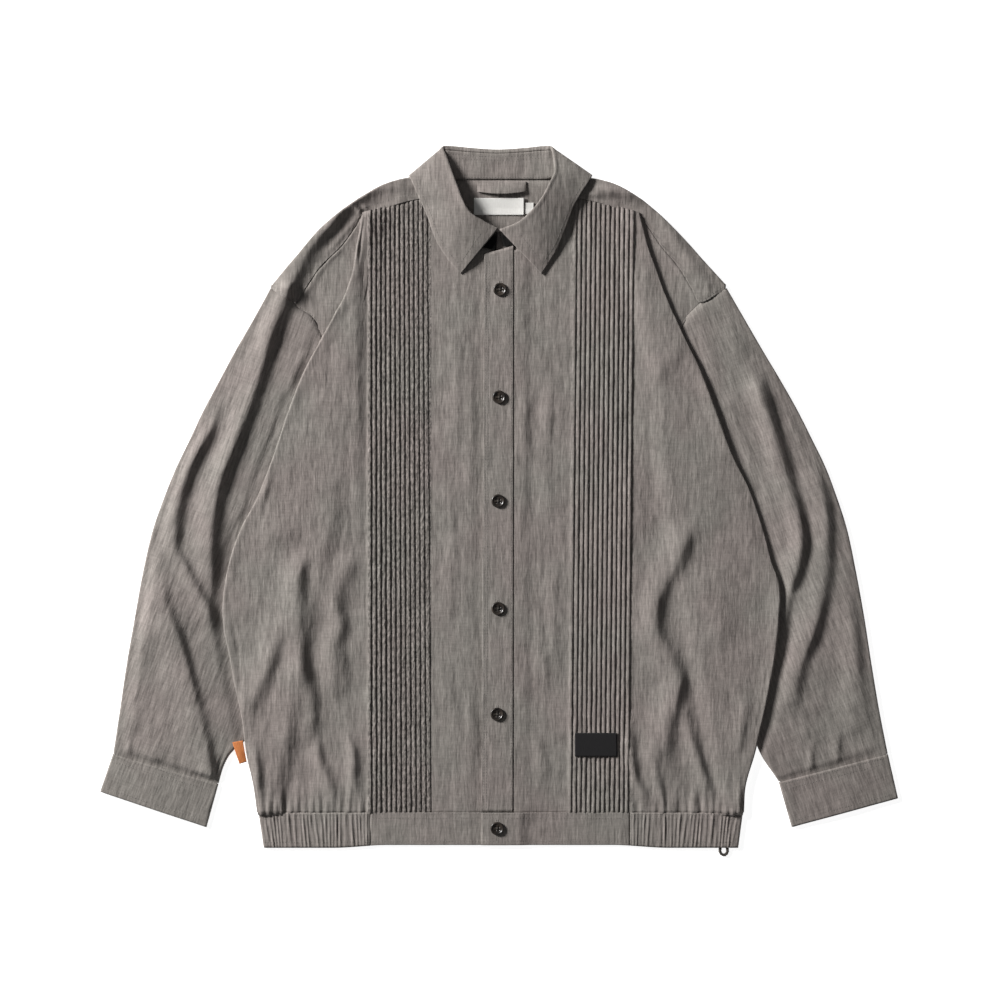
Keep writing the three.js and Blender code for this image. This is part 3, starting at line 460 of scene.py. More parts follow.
# Cut lines of the garment, as its solids have them
BODY = {
    "right": table(
        "y fold turn seam",
        (304, 149.4, 138, 148), (287, 152, 137, 158), (270, 155, 137, 171), (248, 158, 139, 193),
        (225, 165, 143, 208), (211, 171, 146, 217), (203, 176, 148, 217), (193, 181, 152, 203),
        (173, 192, 158, 191), (135, 212, 167, 186), (94, 228, 173, 185), (43, 245, 177, 186.5),
        (0, 262, 180, 189), (-30, 278, 186, 196), (-64, 290, 193, 203), (-102, 297, 200, 210),
        (-135, 297, 206, 216), (-165, 291, 212, 222), (-193, 286, 218, 228), (-230, 278, 226, 235),
        (-273, 272, 235, 244), (-305, 265, 241, 250), (-334, 261, 246, 255),
    ),
    "left": table(
        "y fold turn seam",
        (304, 149.4, 138, 148), (287, 154, 138, 160), (270, 158, 139, 172), (248, 166, 143, 190),
        (225, 174, 148, 204), (211, 180, 151, 211), (203, 183, 153, 209), (193, 188, 156, 199),
        (173, 197, 161, 188.5), (141, 213, 167, 185), (100, 229, 172, 184), (48, 248, 176, 186),
        (11, 266, 179, 187.5), (-37, 282, 187, 197), (-64, 289, 193, 203), (-90, 298, 198, 208),
        (-115, 299, 203, 213), (-160, 295, 211, 221), (-214, 285, 222, 232), (-240, 279, 228, 237),
        (-270, 272, 235, 244), (-305, 262, 241, 250), (-334, 260, 246, 255),
    ),
}
FRONT_TOP = table(
    "w y",
    (6, 264), (30, 272), (44, 281), (52, 290), (60, 305), (64, 316), (67, 323), (89, 321),
    (108, 317), (129, 310), (149, 304),
)
SHOULDER = {
    "right": table(
        "w y low",
        (66, 348, 325), (95, 346, 320), (124, 338.5, 312), (149, 325, 304.5), (158, 319, 289),
        (172, 309, 270), (194, 290, 248), (209, 273, 226), (218, 262, 212), (226, 253, 213),
        (236, 241, 219), (245, 230, 225),
    ),
    "left": table(
        "w y low",
        (66, 348, 325), (95, 345, 320), (123, 338, 312), (149, 323, 304.5), (158, 316, 291),
        (172, 304, 271), (191, 285, 248), (204, 271, 226), (211, 263, 212), (219, 254, 212),
        (230, 242, 219), (240, 231, 224),
    ),
}
TUCKS = 13
STRIP = {
    "right": {"top_in": 78, "top_out": 143, "hem_in": 74, "hem_out": 143},
    "left": {"top_in": 77, "top_out": 143, "hem_in": 71, "hem_out": 137},
}
ARMHOLE = {
    "right": Curve([
        (248, 226), (236, 218), (226, 212), (218, 203), (204, 193),
        (192, 173), (187, 135), (186, 86), (188, 40), (190, 0),
    ]),
    "left": Curve([
        (243, 226), (229, 217), (218, 210), (210, 203), (198, 190),
        (190, 173), (186, 135), (185, 86), (188, 40), (190, 0),
    ]),
}
SLEEVE_OUTER = {
    "right": Curve([
        (248, 226), (266, 193), (285, 160), (302, 128), (319, 96), (334, 64), (348, 35),
        (362, 0), (373, -32), (383, -75), (392, -125), (401, -177), (408, -225), (415, -271),
    ]),
    "left": Curve([
        (243, 226), (262, 193), (281, 160), (300, 128), (318, 96), (334, 64), (348, 35),
        (361, 0), (371, -32), (380, -75), (389, -125), (397, -177), (405, -225), (414, -271),
    ]),
}
SLEEVE_INNER = {
    "right": Curve([
        (190, 0), (215, -60), (240, -130), (260, -200), (273, -256), (284, -266), (291, -274),
        (297, -286), (302, -303),
    ]),
    "left": Curve([(190, 0), (214, -60), (237, -130), (256, -200), (276, -268), (297, -301)]),
}
CUFF = {
    "right": {"outer": [(415, -271), (429, -312)], "inner": [(302, -303), (315, -350)]},
    "left": {"outer": [(414, -271), (425, -319)], "inner": [(297, -301), (311, -350)]},
}
# Points of the collar's fold, seam and edge, from one front end to the other
COLLAR = [
    ((-3.5, 289, 10.5), (-5, 267, 3.2), (-43, 242, 4.3)),
    ((-19, 297, 13.5), (-30, 274, 4.6), (-50, 249, 4.6)),
    ((-33, 306, 16), (-47, 286, 4.8), (-58, 259, 5.0)),
    ((-41, 319, 16), (-57, 303, 5.0), (-70, 279, 6.2)),
    ((-46, 332, 15), (-62, 320, 5.2), (-79, 304, 6.8)),
    ((-52, 348, 12.5), (-63, 332, 5.2), (-89, 326, 7.4)),
    ((-58, 365, 9), (-62, 341, 4.8), (-95, 340, 6.6)),
    ((-62, 377, 5.5), (-56, 344, 3.6), (-98, 347, 3.8)),
    ((-54, 378, 2.2), (-46, 343.2, 3.0), (-82, 341, 0.9)),
    ((-30, 376, 1.6), (-26, 343.2, 2.8), (-42, 333, 0.9)),
    ((-4, 374.5, 1.6), (0, 343.2, 2.8), (-2, 331, 0.9)),
    ((24, 376, 1.6), (26, 343.2, 2.8), (38, 333, 0.9)),
    ((46, 378, 2.2), (46, 343.2, 3.0), (80, 341, 0.9)),
    ((54, 377, 5.5), (56, 344, 3.6), (97, 347, 6.4)),
    ((57, 364, 9), (62, 341, 4.8), (94, 340, 9.8)),
    ((58, 351, 12.5), (64, 332, 5.2), (86, 328, 10.2)),
    ((53, 339, 15), (62, 320, 5.2), (77, 312, 9.2)),
    ((44, 322, 16), (57, 303, 5.0), (69, 290, 7.6)),
    ((33, 308, 16), (47, 286, 4.8), (59, 266, 6.0)),
    ((19, 296, 13.5), (30, 274, 4.6), (50, 251, 5.2)),
    ((-1, 288, 10.5), (3, 271, 3.2), (44, 241, 4.8)),
]
COLLAR_FOLD, COLLAR_SEAM, COLLAR_EDGE = (Curve(line) for line in zip(*COLLAR))

# Creases as they lie in the cloth, by x and y of their lines
SHOULDER_ROLL = fold(
    6.2, 14, 8, (-84, 335), (-125, 334), (-141, 331), (-156, 323), (-171, 309), (-185, 292),
    (-197, 280), (-210, 263), (-219, 244), (-226, 225), (-233, 206),
)
ARM_ROLL = fold(
    6.8, 14, 6, (-223, 237), (-228, 222), (-234, 206), (-242, 186), (-252, 156), (-263, 120),
    (-282, 66), (-302, 14), (-310, -40), (-309, -110),
)
SLEEVE_FOLDS = {
    "right": [
        SHOULDER_ROLL,
        ARM_ROLL,
        fold(5.6, 12, 6, (-300, 100), (-318, 66), (-333, 36), (-344, 4), (-348, -30), (-351, -72)),
        fold(4.2, 9, 5, (-352, -44), (-338, -70), (-324, -98), (-309, -124), (-298, -146)),
        fold(4.4, 24, 6, (-365, -80), (-359, -112), (-343, -152), (-330, -200), (-320, -244), (-312, -280),
             (-307, -318)),
        fold(2.2, 14, 12, (-382, -120), (-384, -170), (-390, -220), (-396, -255)),
        fold(3.2, 16, 27, (-370, -40), (-374, -84), (-374, -130), (-366, -172)),
        fold(1.6, 14, 10, (-330, 70), (-350, 20), (-366, -30)),
        fold(-1.5, 1.3, 1.3, (-286, -256), (-296, -271), (-303, -287), (-306, -306)),
        fold(2.0, 5, 2.5, (-372, -262), (-370, -284), (-368, -312)),
        fold(1.4, 5, 3, (-396, -250), (-398, -270), (-402, -300)),
        fold(-1.6, 5, 5, (-216, 130), (-238, 80), (-262, 14), (-270, -22)),
        fold(5.2, 5, 2.4, (-196, 174), (-209, 147), (-220, 128), (-235, 104)),
    ],
    "left": [
        fold(6.6, 12, 6, (273, 142), (281, 108), (292, 70), (306, 21), (318, -21), (321, -44), (316, -74),
             (303, -104), (297, -130), (290, -160)),
        fold(6.6, 10, 6, (304, -96), (300, -130), (293, -165), (284, -205), (272, -250)),
        fold(4.6, 16, 7, (336, 44), (345, 5), (348, -50), (345, -91), (334, -139), (318, -180), (309, -240)),
        fold(2.8, 14, 12, (372, -90), (377, -150), (380, -215), (384, -258)),
        fold(2.2, 14, 9, (236, 195), (250, 170), (268, 150)),
        fold(2.4, 12, 8, (262, 148), (272, 120), (270, 95)),
        fold(-2.2, 9, 9, (228, 84), (262, 30), (277, -20), (292, -66), (303, -110), (305, -160),
             (292, -214), (276, -260)),
        fold(1.8, 5, 3, (362, -240), (360, -268), (362, -300)),
        fold(1.4, 5, 3, (334, -250), (332, -275), (334, -308)),
    ],
}
FRONT_FOLDS = {
    "right": [
        fold(4.4, 15, 9, (-152, -58), (-166, -74), (-176, -96), (-177, -118), (-172, -134), (-180, -158),
             (-179, -184), (-182, -236)),
        fold(5.0, 15, 8, (-209, -52), (-216, -80), (-217, -110), (-216, -145), (-213, -178), (-204, -205),
             (-205, -236), (-218, -272)),
        fold(3.8, 15, 9, (-228, -118), (-240, -150), (-250, -180), (-266, -214), (-280, -236)),
        fold(3.4, 8, 5, (-201, -236), (-197, -262), (-192, -285), (-181, -312), (-180, -332)),
        fold(3.2, 8, 5, (-168, -242), (-158, -270), (-157, -300), (-151, -332)),
        fold(3.0, 7, 5, (-270, -246), (-262, -275), (-260, -305), (-262, -332)),
        fold(2.0, 26, 16, (-222, -8), (-236, -34), (-242, -62)),
        fold(1.8, 20, 12, (-222, -160), (-228, -220), (-226, -290)),
        fold(1.8, 10, 7, (-172, -140), (-170, -180), (-158, -215)),
        fold(1.4, 10, 7, (-64, -180), (-50, -230), (-38, -290)),
        fold(1.3, 9, 6, (-34, -205), (-30, -250), (-32, -300)),
        fold(1.1, 8, 6, (-50, 190), (-46, 120), (-52, 40)),
        fold(0.9, 7, 5, (-36, 150), (-30, 70), (-34, 0)),
        fold(1.0, 8, 5, (-58, 20), (-52, -60), (-56, -140)),
        fold(1.3, 4, 4, (-249, 34), (-253, 8), (-258, -24)),
        fold(-1.7, 1.6, 1.6, (-145, 306), (-149, 286), (-151, 266), (-153, 246)),
        fold(-1.2, 1.3, 1.3, (-289, -126), (-282, -153), (-279, -194), (-277, -232)),
    ],
    "left": [
        fold(2.6, 18, 10, (200, 180), (180, 152), (150, 116)),
        fold(5.2, 18, 8, (206, -20), (192, -55), (176, -86), (166, -112), (166, -140), (178, -164),
             (190, -190), (186, -212), (177, -250), (176, -318)),
        fold(3.6, 9, 6, (192, -196), (197, -232), (206, -262), (218, -300), (224, -330)),
        fold(3.0, 7, 5, (138, -220), (139, -270), (146, -305), (164, -330)),
        fold(2.6, 8, 6, (262, -196), (259, -236), (250, -280)),
        fold(2.8, 6, 5, (166, -250), (165, -290), (172, -330)),
        fold(1.8, 24, 16, (222, -60), (234, -110), (232, -170)),
        fold(1.4, 18, 12, (140, 40), (142, -40), (140, -120)),
        fold(1.4, 10, 7, (30, -240), (44, -280), (40, -320)),
        fold(1.2, 9, 6, (56, 140), (48, 60), (54, -30)),
        fold(1.3, 12, 7, (36, -120), (46, -170), (40, -210)),
        fold(1.2, 8, 5, (34, 120), (26, 90), (30, 30)),
        fold(1.0, 7, 5, (60, -60), (56, -120), (60, -200)),
        fold(-1.1, 1.2, 1.2, (291, -128), (286, -180), (278, -225), (266, -266)),
    ],
}
YOKE_CREASES = [
    SHOULDER_ROLL,
    ARM_ROLL,
    fold(2.6, 4, 2.4, (-163, 318), (-155, 313), (-149, 307), (-146, 299)),
    fold(2.0, 3, 2.2, (-152, 322), (-147, 315), (-141, 310), (-133, 307)),
    fold(1.2, 3, 2.2, (-112, 326), (-105, 322), (-98, 317)),
    fold(1.2, 5, 4, (-132, 312), (-156, 296), (-178, 272), (-196, 244)),
    fold(0.9, 4, 3, (-90, 322), (-104, 318), (-122, 316)),
    fold(5.0, 6, 6.5, (90, 333), (108, 332), (124, 329), (142, 322), (162, 308)),
    fold(1.6, 3, 4, (84, 330), (98, 326), (116, 324)),
    fold(2.2, 9, 7, (160, 308), (184, 282), (206, 250), (222, 224), (238, 196)),
]
WING_FOLDS = {
    "right": [fold(3.4, 5, 2.2, (-165, 226), (-171, 217), (-178, 205), (-187, 190))],
    "left": [],
}


# Turning a surface into cloth
def strewn(place, us, vs, facing, ring):
    """Middle surface of a cloth over a grid, and its outward directions."""
    u, v = np.meshgrid(us, vs, indexing="ij")
    middle = place(u, v)
    if ring:
        around = np.gradient(np.concatenate([middle[-2:-1], middle, middle[1:2]]), axis=0)[1:-1]
    else:
        around = np.gradient(middle, axis=0)
    down = np.gradient(middle, axis=1)
    outward = np.cross(around, down) * facing
    outward /= np.maximum(np.linalg.norm(outward, axis=-1, keepdims=True), 1e-9)
    return u, v, middle, outward, around


def walled_grid(columns, rows, present, ring):
    """A closed slab over a grid of unit size: the cloth before it is laid out."""
    bm = bmesh.new()
    bmesh.ops.create_grid(bm, x_segments=columns, y_segments=rows, size=0.5)
    if present is not None:
        gone = []
        for face in bm.faces:
            centre = face.calc_center_median()
            if not present((centre.x + 0.5) * columns, (centre.y + 0.5) * rows):
                gone.append(face)
        bmesh.ops.delete(bm, geom=gone, context="FACES")
    raised = bmesh.ops.extrude_face_region(bm, geom=list(bm.faces), use_keep_orig=True)
    upper = [part for part in raised["geom"] if isinstance(part, bmesh.types.BMVert)]
    bmesh.ops.translate(bm, verts=upper, vec=(0, 0, 1))
    if ring:
        ends = [f for f in bm.faces if all(abs(abs(v.co.x) - 0.5) < 1e-6 for v in f.verts)]
        bmesh.ops.delete(bm, geom=ends, context="FACES")
    return bm


def cloth(name, place, us, vs, wall=WALL, facing=1, relief=None, ring=False, present=None, grain=0):
    """A closed cloth shell on place(u, v), with relief raised on its outer side alone.

    The weave lies straight on the pressed cloth, turned by the grain in degrees.
    """
    us = np.asarray(us, float)
    vs = np.asarray(vs, float)
    mesh = mesh_from(walled_grid(len(us) - 1, len(vs) - 1, present, ring), name)
    u, v, middle, outward, around = strewn(place, us, vs, facing, ring)
    outer = middle + outward * wall / 2
    if relief is not None:
        rise, slide = relief(u, v, middle)
        along = around / np.maximum(np.linalg.norm(around, axis=-1, keepdims=True), 1e-9)
        outer = outer + outward * rise[..., None] + along * slide[..., None]
    inner = middle - outward * wall / 2
    spots = np.empty(len(mesh.vertices) * 3)
    mesh.vertices.foreach_get("co", spots)
    spots = spots.reshape(-1, 3)
    i = np.rint((spots[:, 0] + 0.5) * (len(us) - 1)).astype(int)
    j = np.rint((spots[:, 1] + 0.5) * (len(vs) - 1)).astype(int)
    top = spots[:, 2] > 0.5
    laid = np.where(top[:, None], outer[i, j], inner[i, j]) * MM
    mesh.vertices.foreach_set("co", laid.ravel())
    corners = np.empty(len(mesh.loops), int)
    mesh.loops.foreach_get("vertex_index", corners)
    x, y = laid[corners, 0], laid[corners, 1]
    sine, cosine = math.sin(math.radians(grain)), math.cos(math.radians(grain))
    places = np.stack([x * cosine + y * sine, y * cosine - x * sine], axis=-1)
    mesh.uv_layers.new(name="cloth").data.foreach_set("uv", places.ravel())
    return tidied(mesh)


def tidied(mesh):
    """Merges doubles, turns every face outwards and shades the mesh smooth."""
    bm = bmesh.new()
    bm.from_mesh(mesh)
    bmesh.ops.remove_doubles(bm, verts=list(bm.verts), dist=1e-7)
    bmesh.ops.recalc_face_normals(bm, faces=list(bm.faces))
    bm.to_mesh(mesh)
    bm.free()
    mesh.polygons.foreach_set("use_smooth", np.ones(len(mesh.polygons), bool))
    return mesh


def add_piece(mesh, finish, slot, *nodes):
    piece = placed(mesh.name, mesh)
    mesh.materials.append(finish)
    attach(piece, "root")
    if nodes:
        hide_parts(*nodes)
    return piece


def stations(*stretches):
    """Values along a line: stretches of (start, end, steps) that follow on each other."""
    parts = [np.linspace(a, b, steps + 1)[(k > 0):] for k, (a, b, steps) in enumerate(stretches)]
    return np.concatenate(parts)


def points(x, y, z):
    return np.stack(np.broadcast_arrays(x, y, z), axis=-1)


# Back and yoke
def back_place(u, v):
    y = mix(YOKE_SEAM_Y - GAP, HEM_Y + GAP, v)
    right = read(BODY["right"], "y", "seam", y) - 1
    left = read(BODY["left"], "y", "seam", y) - 1
    return points(np.where(u < 0, u * right, u * left), y, Z_FLOOR_LAYER)


LEAF_RAISE = 1.9
SHOULDER_FOLD = 1.4
NECK_HALF = 61
SHOULDER_START = 66
NECK_Y = 342
ARMHOLE_TOP_W = 218


def yoke_raise(w, y):
    leaf_edge = 330 + 10 * (np.abs(w) / 98) ** 3
    return LEAF_RAISE * np.clip((y - leaf_edge + 18) / 16, 0, 1)


def yoke_place(x, v):
    w = np.abs(x)
    z0 = Z_FLOOR_LAYER
    neck_y = mix(YOKE_SEAM_Y, NECK_Y, v)
    neck = points(x, neck_y, z0 + yoke_raise(w, neck_y))
    crest, low, floor_end = (np.zeros_like(x) for _ in range(3))
    for key, chosen in (("right", x < 0), ("left", x >= 0)):
        lows = read(SHOULDER[key], "w", "low", w)
        crest = np.where(chosen, read(SHOULDER[key], "w", "y", w) - SHOULDER_FOLD - SOLID_HALF, crest)
        low = np.where(chosen, lows, low)
        outside = np.where(w > ARMHOLE_TOP_W, lows, 0)
        floor_end = np.where(chosen, np.maximum(YOKE_SEAM_Y, outside), floor_end)
    z = z0 + yoke_raise(w, crest)
    floor_y = mix(floor_end, crest, v)
    floor = points(x, floor_y, z0 + yoke_raise(w, floor_y))
    turn = np.clip(v - 1, 0, 1) * math.pi
    swell = fold_rise(YOKE_CREASES, x, crest)
    radius = SHOULDER_FOLD + swell / 2
    bend = points(x, crest + SHOULDER_FOLD * np.sin(turn), z + radius * (1 - np.cos(turn)))
    front_y = mix(crest, low + GAP, np.clip(v - 2, 0, 1))
    rise = fold_rise(YOKE_CREASES, x, front_y)
    settle = 1 - 0.8 * smooth((v - 2.6) / 0.4) * smooth((214 - w) / 14)
    uneven = unevenness(x, front_y, 5, (0.3, 26), (0.12, 9))
    slant = x + 1.3 * front_y
    by_seam = smooth((v - 2.7) / 0.3) * smooth((w - 146) / 6)
    uneven = uneven + 0.32 * by_seam * np.sin(slant * 0.9 + 0.8 * np.sin(slant * 0.23))
    level = z + 2 * SHOULDER_FOLD - 0.3 * smooth(v - 2)
    front = points(x, front_y, level + rise * settle + uneven)
    bent = pick(v <= 1, floor, pick(v <= 2, bend, front))
    return pick(w < NECK_HALF, neck, bent)


YOKE_FLOOR_ROWS = 22


def yoke_mesh():
    xs = stations(
        (-246, -SHOULDER_START, 110), (-SHOULDER_START, -57, 2), (-57, 57, 24),
        (57, SHOULDER_START, 2), (SHOULDER_START, 240.5, 108),
    )
    vs = stations((0, 1, YOKE_FLOOR_ROWS), (1, 2, 8), (2, 3, 30))
    middle = (xs[:-1] + xs[1:]) / 2

    def present(column, row):
        return row < YOKE_FLOOR_ROWS or abs(middle[int(column)]) > SHOULDER_START

    return cloth("yoke_cloth", yoke_place, xs, vs, present=present)


# Fronts
FRONT_DROP = SHOULDER_SEAM_Y - HEM_Y
INNER_EDGE = {"right": -11, "left": 10.6}
PANEL_STEP = {"right": 2.9, "left": 0.9}
TONGUE = 3.5
FOLD_LEVEL = {
    "right": table("y z", (304, 6.8), (180, 7.2), (60, 6.9), (-60, 7.2), (-200, 6.6), (-334, 6.2)),
    "left": table(
        "y z",
        (304, 6.2), (226, 5.6), (180, 6.0), (120, 7.6), (80, 8.0), (36, 6.6), (0, 5.5), (-46, 5.4),
        (-84, 7.4), (-120, 8.8), (-180, 8.8), (-236, 7.4), (-280, 6.4), (-334, 6.0),
    ),
}
TURN_RADIUS = (Z_RETURN - Z_WING) / 2
WING_TOP_Y = YOKE_SEAM_Y + 1
YOKE_CORNER_W = 149
SIDE = {"right": -1, "left": 1}


def puckers(key, w, y):
    """Short gathers that run up the cloth from the elastic part of the hem band."""
    dice = np.random.RandomState(41 if key == "right" else 43)
    rise = np.zeros_like(w)
    for start in np.arange(142, 262, 7.6):
        place = start + dice.uniform(-1.6, 1.6)
        length = dice.uniform(16, 52)
        lean = dice.uniform(-0.16, 0.1)
        height = dice.uniform(1.1, 2.6) * (1.25 if key == "left" and start > 205 else 1)
        up = y - HEM_Y
        fade = smooth(1 - up / length)
        rise += height * fade * bell(w - place - lean * up, dice.uniform(2.2, 3.4))
    return rise


def fold_height(key, y):
    """Height of the folded edge, which rises and sinks along its length."""
    uneven = 0.25 * ripples(0 * y, y, 60, 91 if key == "right" else 92)
    return read(FOLD_LEVEL[key], "y", "z", y) + uneven * smooth((280 - y) / 60)


def front_height(key, w, y):
    side = SIDE[key]
    fold_w = read(BODY[key], "y", "fold", y)
    turn = read(BODY[key], "y", "turn", y)
    strip_out = mix(STRIP[key]["top_out"], STRIP[key]["hem_out"], (SHOULDER_SEAM_Y - y) / FRONT_DROP)
    step = PANEL_STEP[key] * smooth((290 - y) / 40) * smooth((y + 60) / 160)
    over = step * smooth((w - strip_out + 1) / 15)
    over += smooth((w - turn + 18) / 20) * (Z_OVERHANG - Z_FRONT - step)
    lip = smooth((w - fold_w + 16) / 15) * (fold_height(key, y) - Z_OVERHANG)
    edge = Z_UNDERLAP - Z_FRONT if key == "right" else 1.2
    lap = edge * smooth((34 - w) / 12)
    if key == "left":
        lap = lap - 1.9 * smooth((13.3 - w) / 1.4)
    yoke_seam = 0.8 * smooth((y - SHOULDER_SEAM_Y + 30) / 26) * smooth((w - 40) / 20)
    inside = smooth((fold_w - w - 0.3) / 5)
    x = side * w
    creases = fold_rise(FRONT_FOLDS[key], x, y) + puckers(key, w, y)
    uneven = unevenness(x, y, 11, (0.32, 46), (0.12, 15))
    calm = smooth((w - 18) / 14)
    return Z_FRONT + over + lip + lap + yoke_seam + (creases + uneven * calm) * inside


def front_place(key):
    side = SIDE[key]
    strip = STRIP[key]
    body = BODY[key]

    def place(u, drop):
        """Past its cut edges the panel runs on as a tongue, sewn in under its neighbours."""
        under_yoke = np.clip(-drop / TONGUE, 0, 1)
        under_band = np.clip((drop - FRONT_DROP) / TONGUE, 0, 1)
        drop = np.clip(drop, 0, FRONT_DROP)
        y = SHOULDER_SEAM_Y - drop
        down = drop / FRONT_DROP
        radius = (fold_height(key, y) - Z_RETURN) / 2
        fold_w = read(body, "y", "fold", y) - SOLID_HALF - radius
        turn = read(body, "y", "turn", y) + SOLID_HALF + TURN_RADIUS
        seam = read(body, "y", "seam", y) - 0.5 + TONGUE * smooth((y - YOKE_SEAM_Y + 8) / 8)
        strip_in = mix(strip["top_in"], strip["hem_in"], down)
        strip_out = mix(strip["top_out"], strip["hem_out"], down)
        w = np.where(
            u <= 1, mix(INNER_EDGE[key], strip_in, u),
            np.where(u <= 2, mix(strip_in, strip_out, u - 1), mix(strip_out, fold_w, u - 2)),
        )
        z = front_height(key, np.minimum(w, fold_w + 1), y)
        z = np.where(w >= fold_w, fold_height(key, y), z)
        roll = np.clip(u - 3, 0, 1) * math.pi
        w = np.where(u > 3, fold_w + radius * np.sin(roll), w)
        z = np.where(u > 3, Z_RETURN + radius * (1 + np.cos(roll)), z)
        w = np.where(u > 4, mix(fold_w, turn, np.clip(u - 4, 0, 1)), w)
        z = np.where(u > 4, Z_RETURN, z)
        tuck = np.clip(u - 5, 0, 1) * math.pi
        w = np.where(u > 5, turn - TURN_RADIUS * np.sin(tuck), w)
        z = np.where(u > 5, Z_WING + TURN_RADIUS * (1 + np.cos(tuck)), z)
        w = np.where(u > 6, mix(turn, seam, np.clip(u - 6, 0, 1)), w)
        from_seam = read(body, "y", "seam", y) - w
        on_yoke = smooth((y - WING_TOP_Y) / 6)
        rise = 0.95 * smooth(1 - from_seam / 9) * smooth((from_seam + 0.9) / 0.8) * on_yoke
        pucker = 0.35 * np.sin(y * 1.45 + 0.9 * np.sin(y * 0.31)) * smooth(1 - from_seam / 7)
        ridges = fold_rise(WING_FOLDS[key], side * w, y) * smooth((from_seam - 1) / 5)
        z = np.where(u > 6, Z_WING + rise + ridges + pucker * on_yoke, z)
        top = np.where(w < YOKE_CORNER_W, read(FRONT_TOP, "w", "y", w) - GAP, SHOULDER_SEAM_Y - GAP)
        share = np.clip((y - 200) / (SHOULDER_SEAM_Y - 200), 0, 2)
        hem = GAP * smooth((HEM_Y + 20 - y) / 20)
        shown = np.where(u <= 3, 1.0, 0.05)
        tongue = (under_yoke - under_band) * TONGUE * shown
        z = z - 1.2 * smooth(3 * (under_yoke + under_band)) * shown
        return points(side * w, y + (top - SHOULDER_SEAM_Y) * share + hem + tongue, z)

    return place


TUCK_RISE = 1.7
TUCK_PROFILE = table(
    "place rise slide",
    (0.0, 0.0, 0), (0.2, 0.5, 0), (0.42, 0.86, 0), (0.6, 1.0, 0.1), (0.74, 0.8, 0.5), (0.84, 0.1, 0.2),
)
TUCK_FALL = {"right": (0.42, 1.08), "left": (0.78, 1.0)}


def tuck_relief(key):
    def relief(u, drop, middle):
        inside = (u > 1 + 1e-6) & (u < 2 - 1e-6)
        counted = (u - 1) * TUCKS
        number = np.floor(counted + 1e-6)
        place = np.clip(counted - number, 0, 1)
        if key == "right":
            place = 1 - place
        y = middle[..., 1]
        near_hem = smooth((HEM_Y + 190 - y) / 190)
        wobble = ripples(number * 37.0, y, 30, 21) * (0.22 + 0.5 * near_hem)
        press = 0.86 + 0.16 * ripples(number * 53.0, y, 90, 22) + 0.16 * ripples(number * 71.0, y, 13, 23)
        press = press * mix(*TUCK_FALL[key], number / TUCKS)
        shape, slant = (np.interp(place, TUCK_PROFILE["place"], TUCK_PROFILE[c]) for c in ("rise", "slide"))
        rise = TUCK_RISE * shape * press - 0.45 * bell(place - 0.92, 0.07)
        slide = SIDE[key] * slant + wobble * 0.5
        return np.where(inside, rise, 0.0), np.where(inside, slide, 0.0)

    return relief


def front_mesh(key):
    places = TUCK_PROFILE["place"]
    if key == "right":
        places = np.concatenate([[0], 1 - places[:0:-1]])
    tucks = [1 + (k + place) / TUCKS for k in range(TUCKS) for place in places]
    us = np.concatenate([
        [0, 0.022, 0.04, 0.06],
        np.linspace(0.08, 1, 25)[:-1],
        tucks,
        stations((2, 3, 62), (3, 4, 8), (4, 5, 4), (5, 6, 4), (6, 6.8, 6), (6.8, 7, 9)),
    ])
    shown = stations((0, 540, 152), (540, FRONT_DROP, 46))
    drops = np.concatenate([[-TONGUE, -1], shown, [FRONT_DROP + 1, FRONT_DROP + TONGUE]])
    facing = -SIDE[key]
    relief = tuck_relief(key)
    return cloth(f"front_{key}_cloth", front_place(key), us, drops, facing=facing, relief=relief)


# Sleeves and cuffs
SLEEVE_OUTER_RADIUS = 1.7
SLEEVE_INNER_RADIUS = (Z_SLEEVE_TOP - Z_FLOOR_LAYER) / 2
SLEEVE_LEAN = {"right": 4.4, "left": 0}


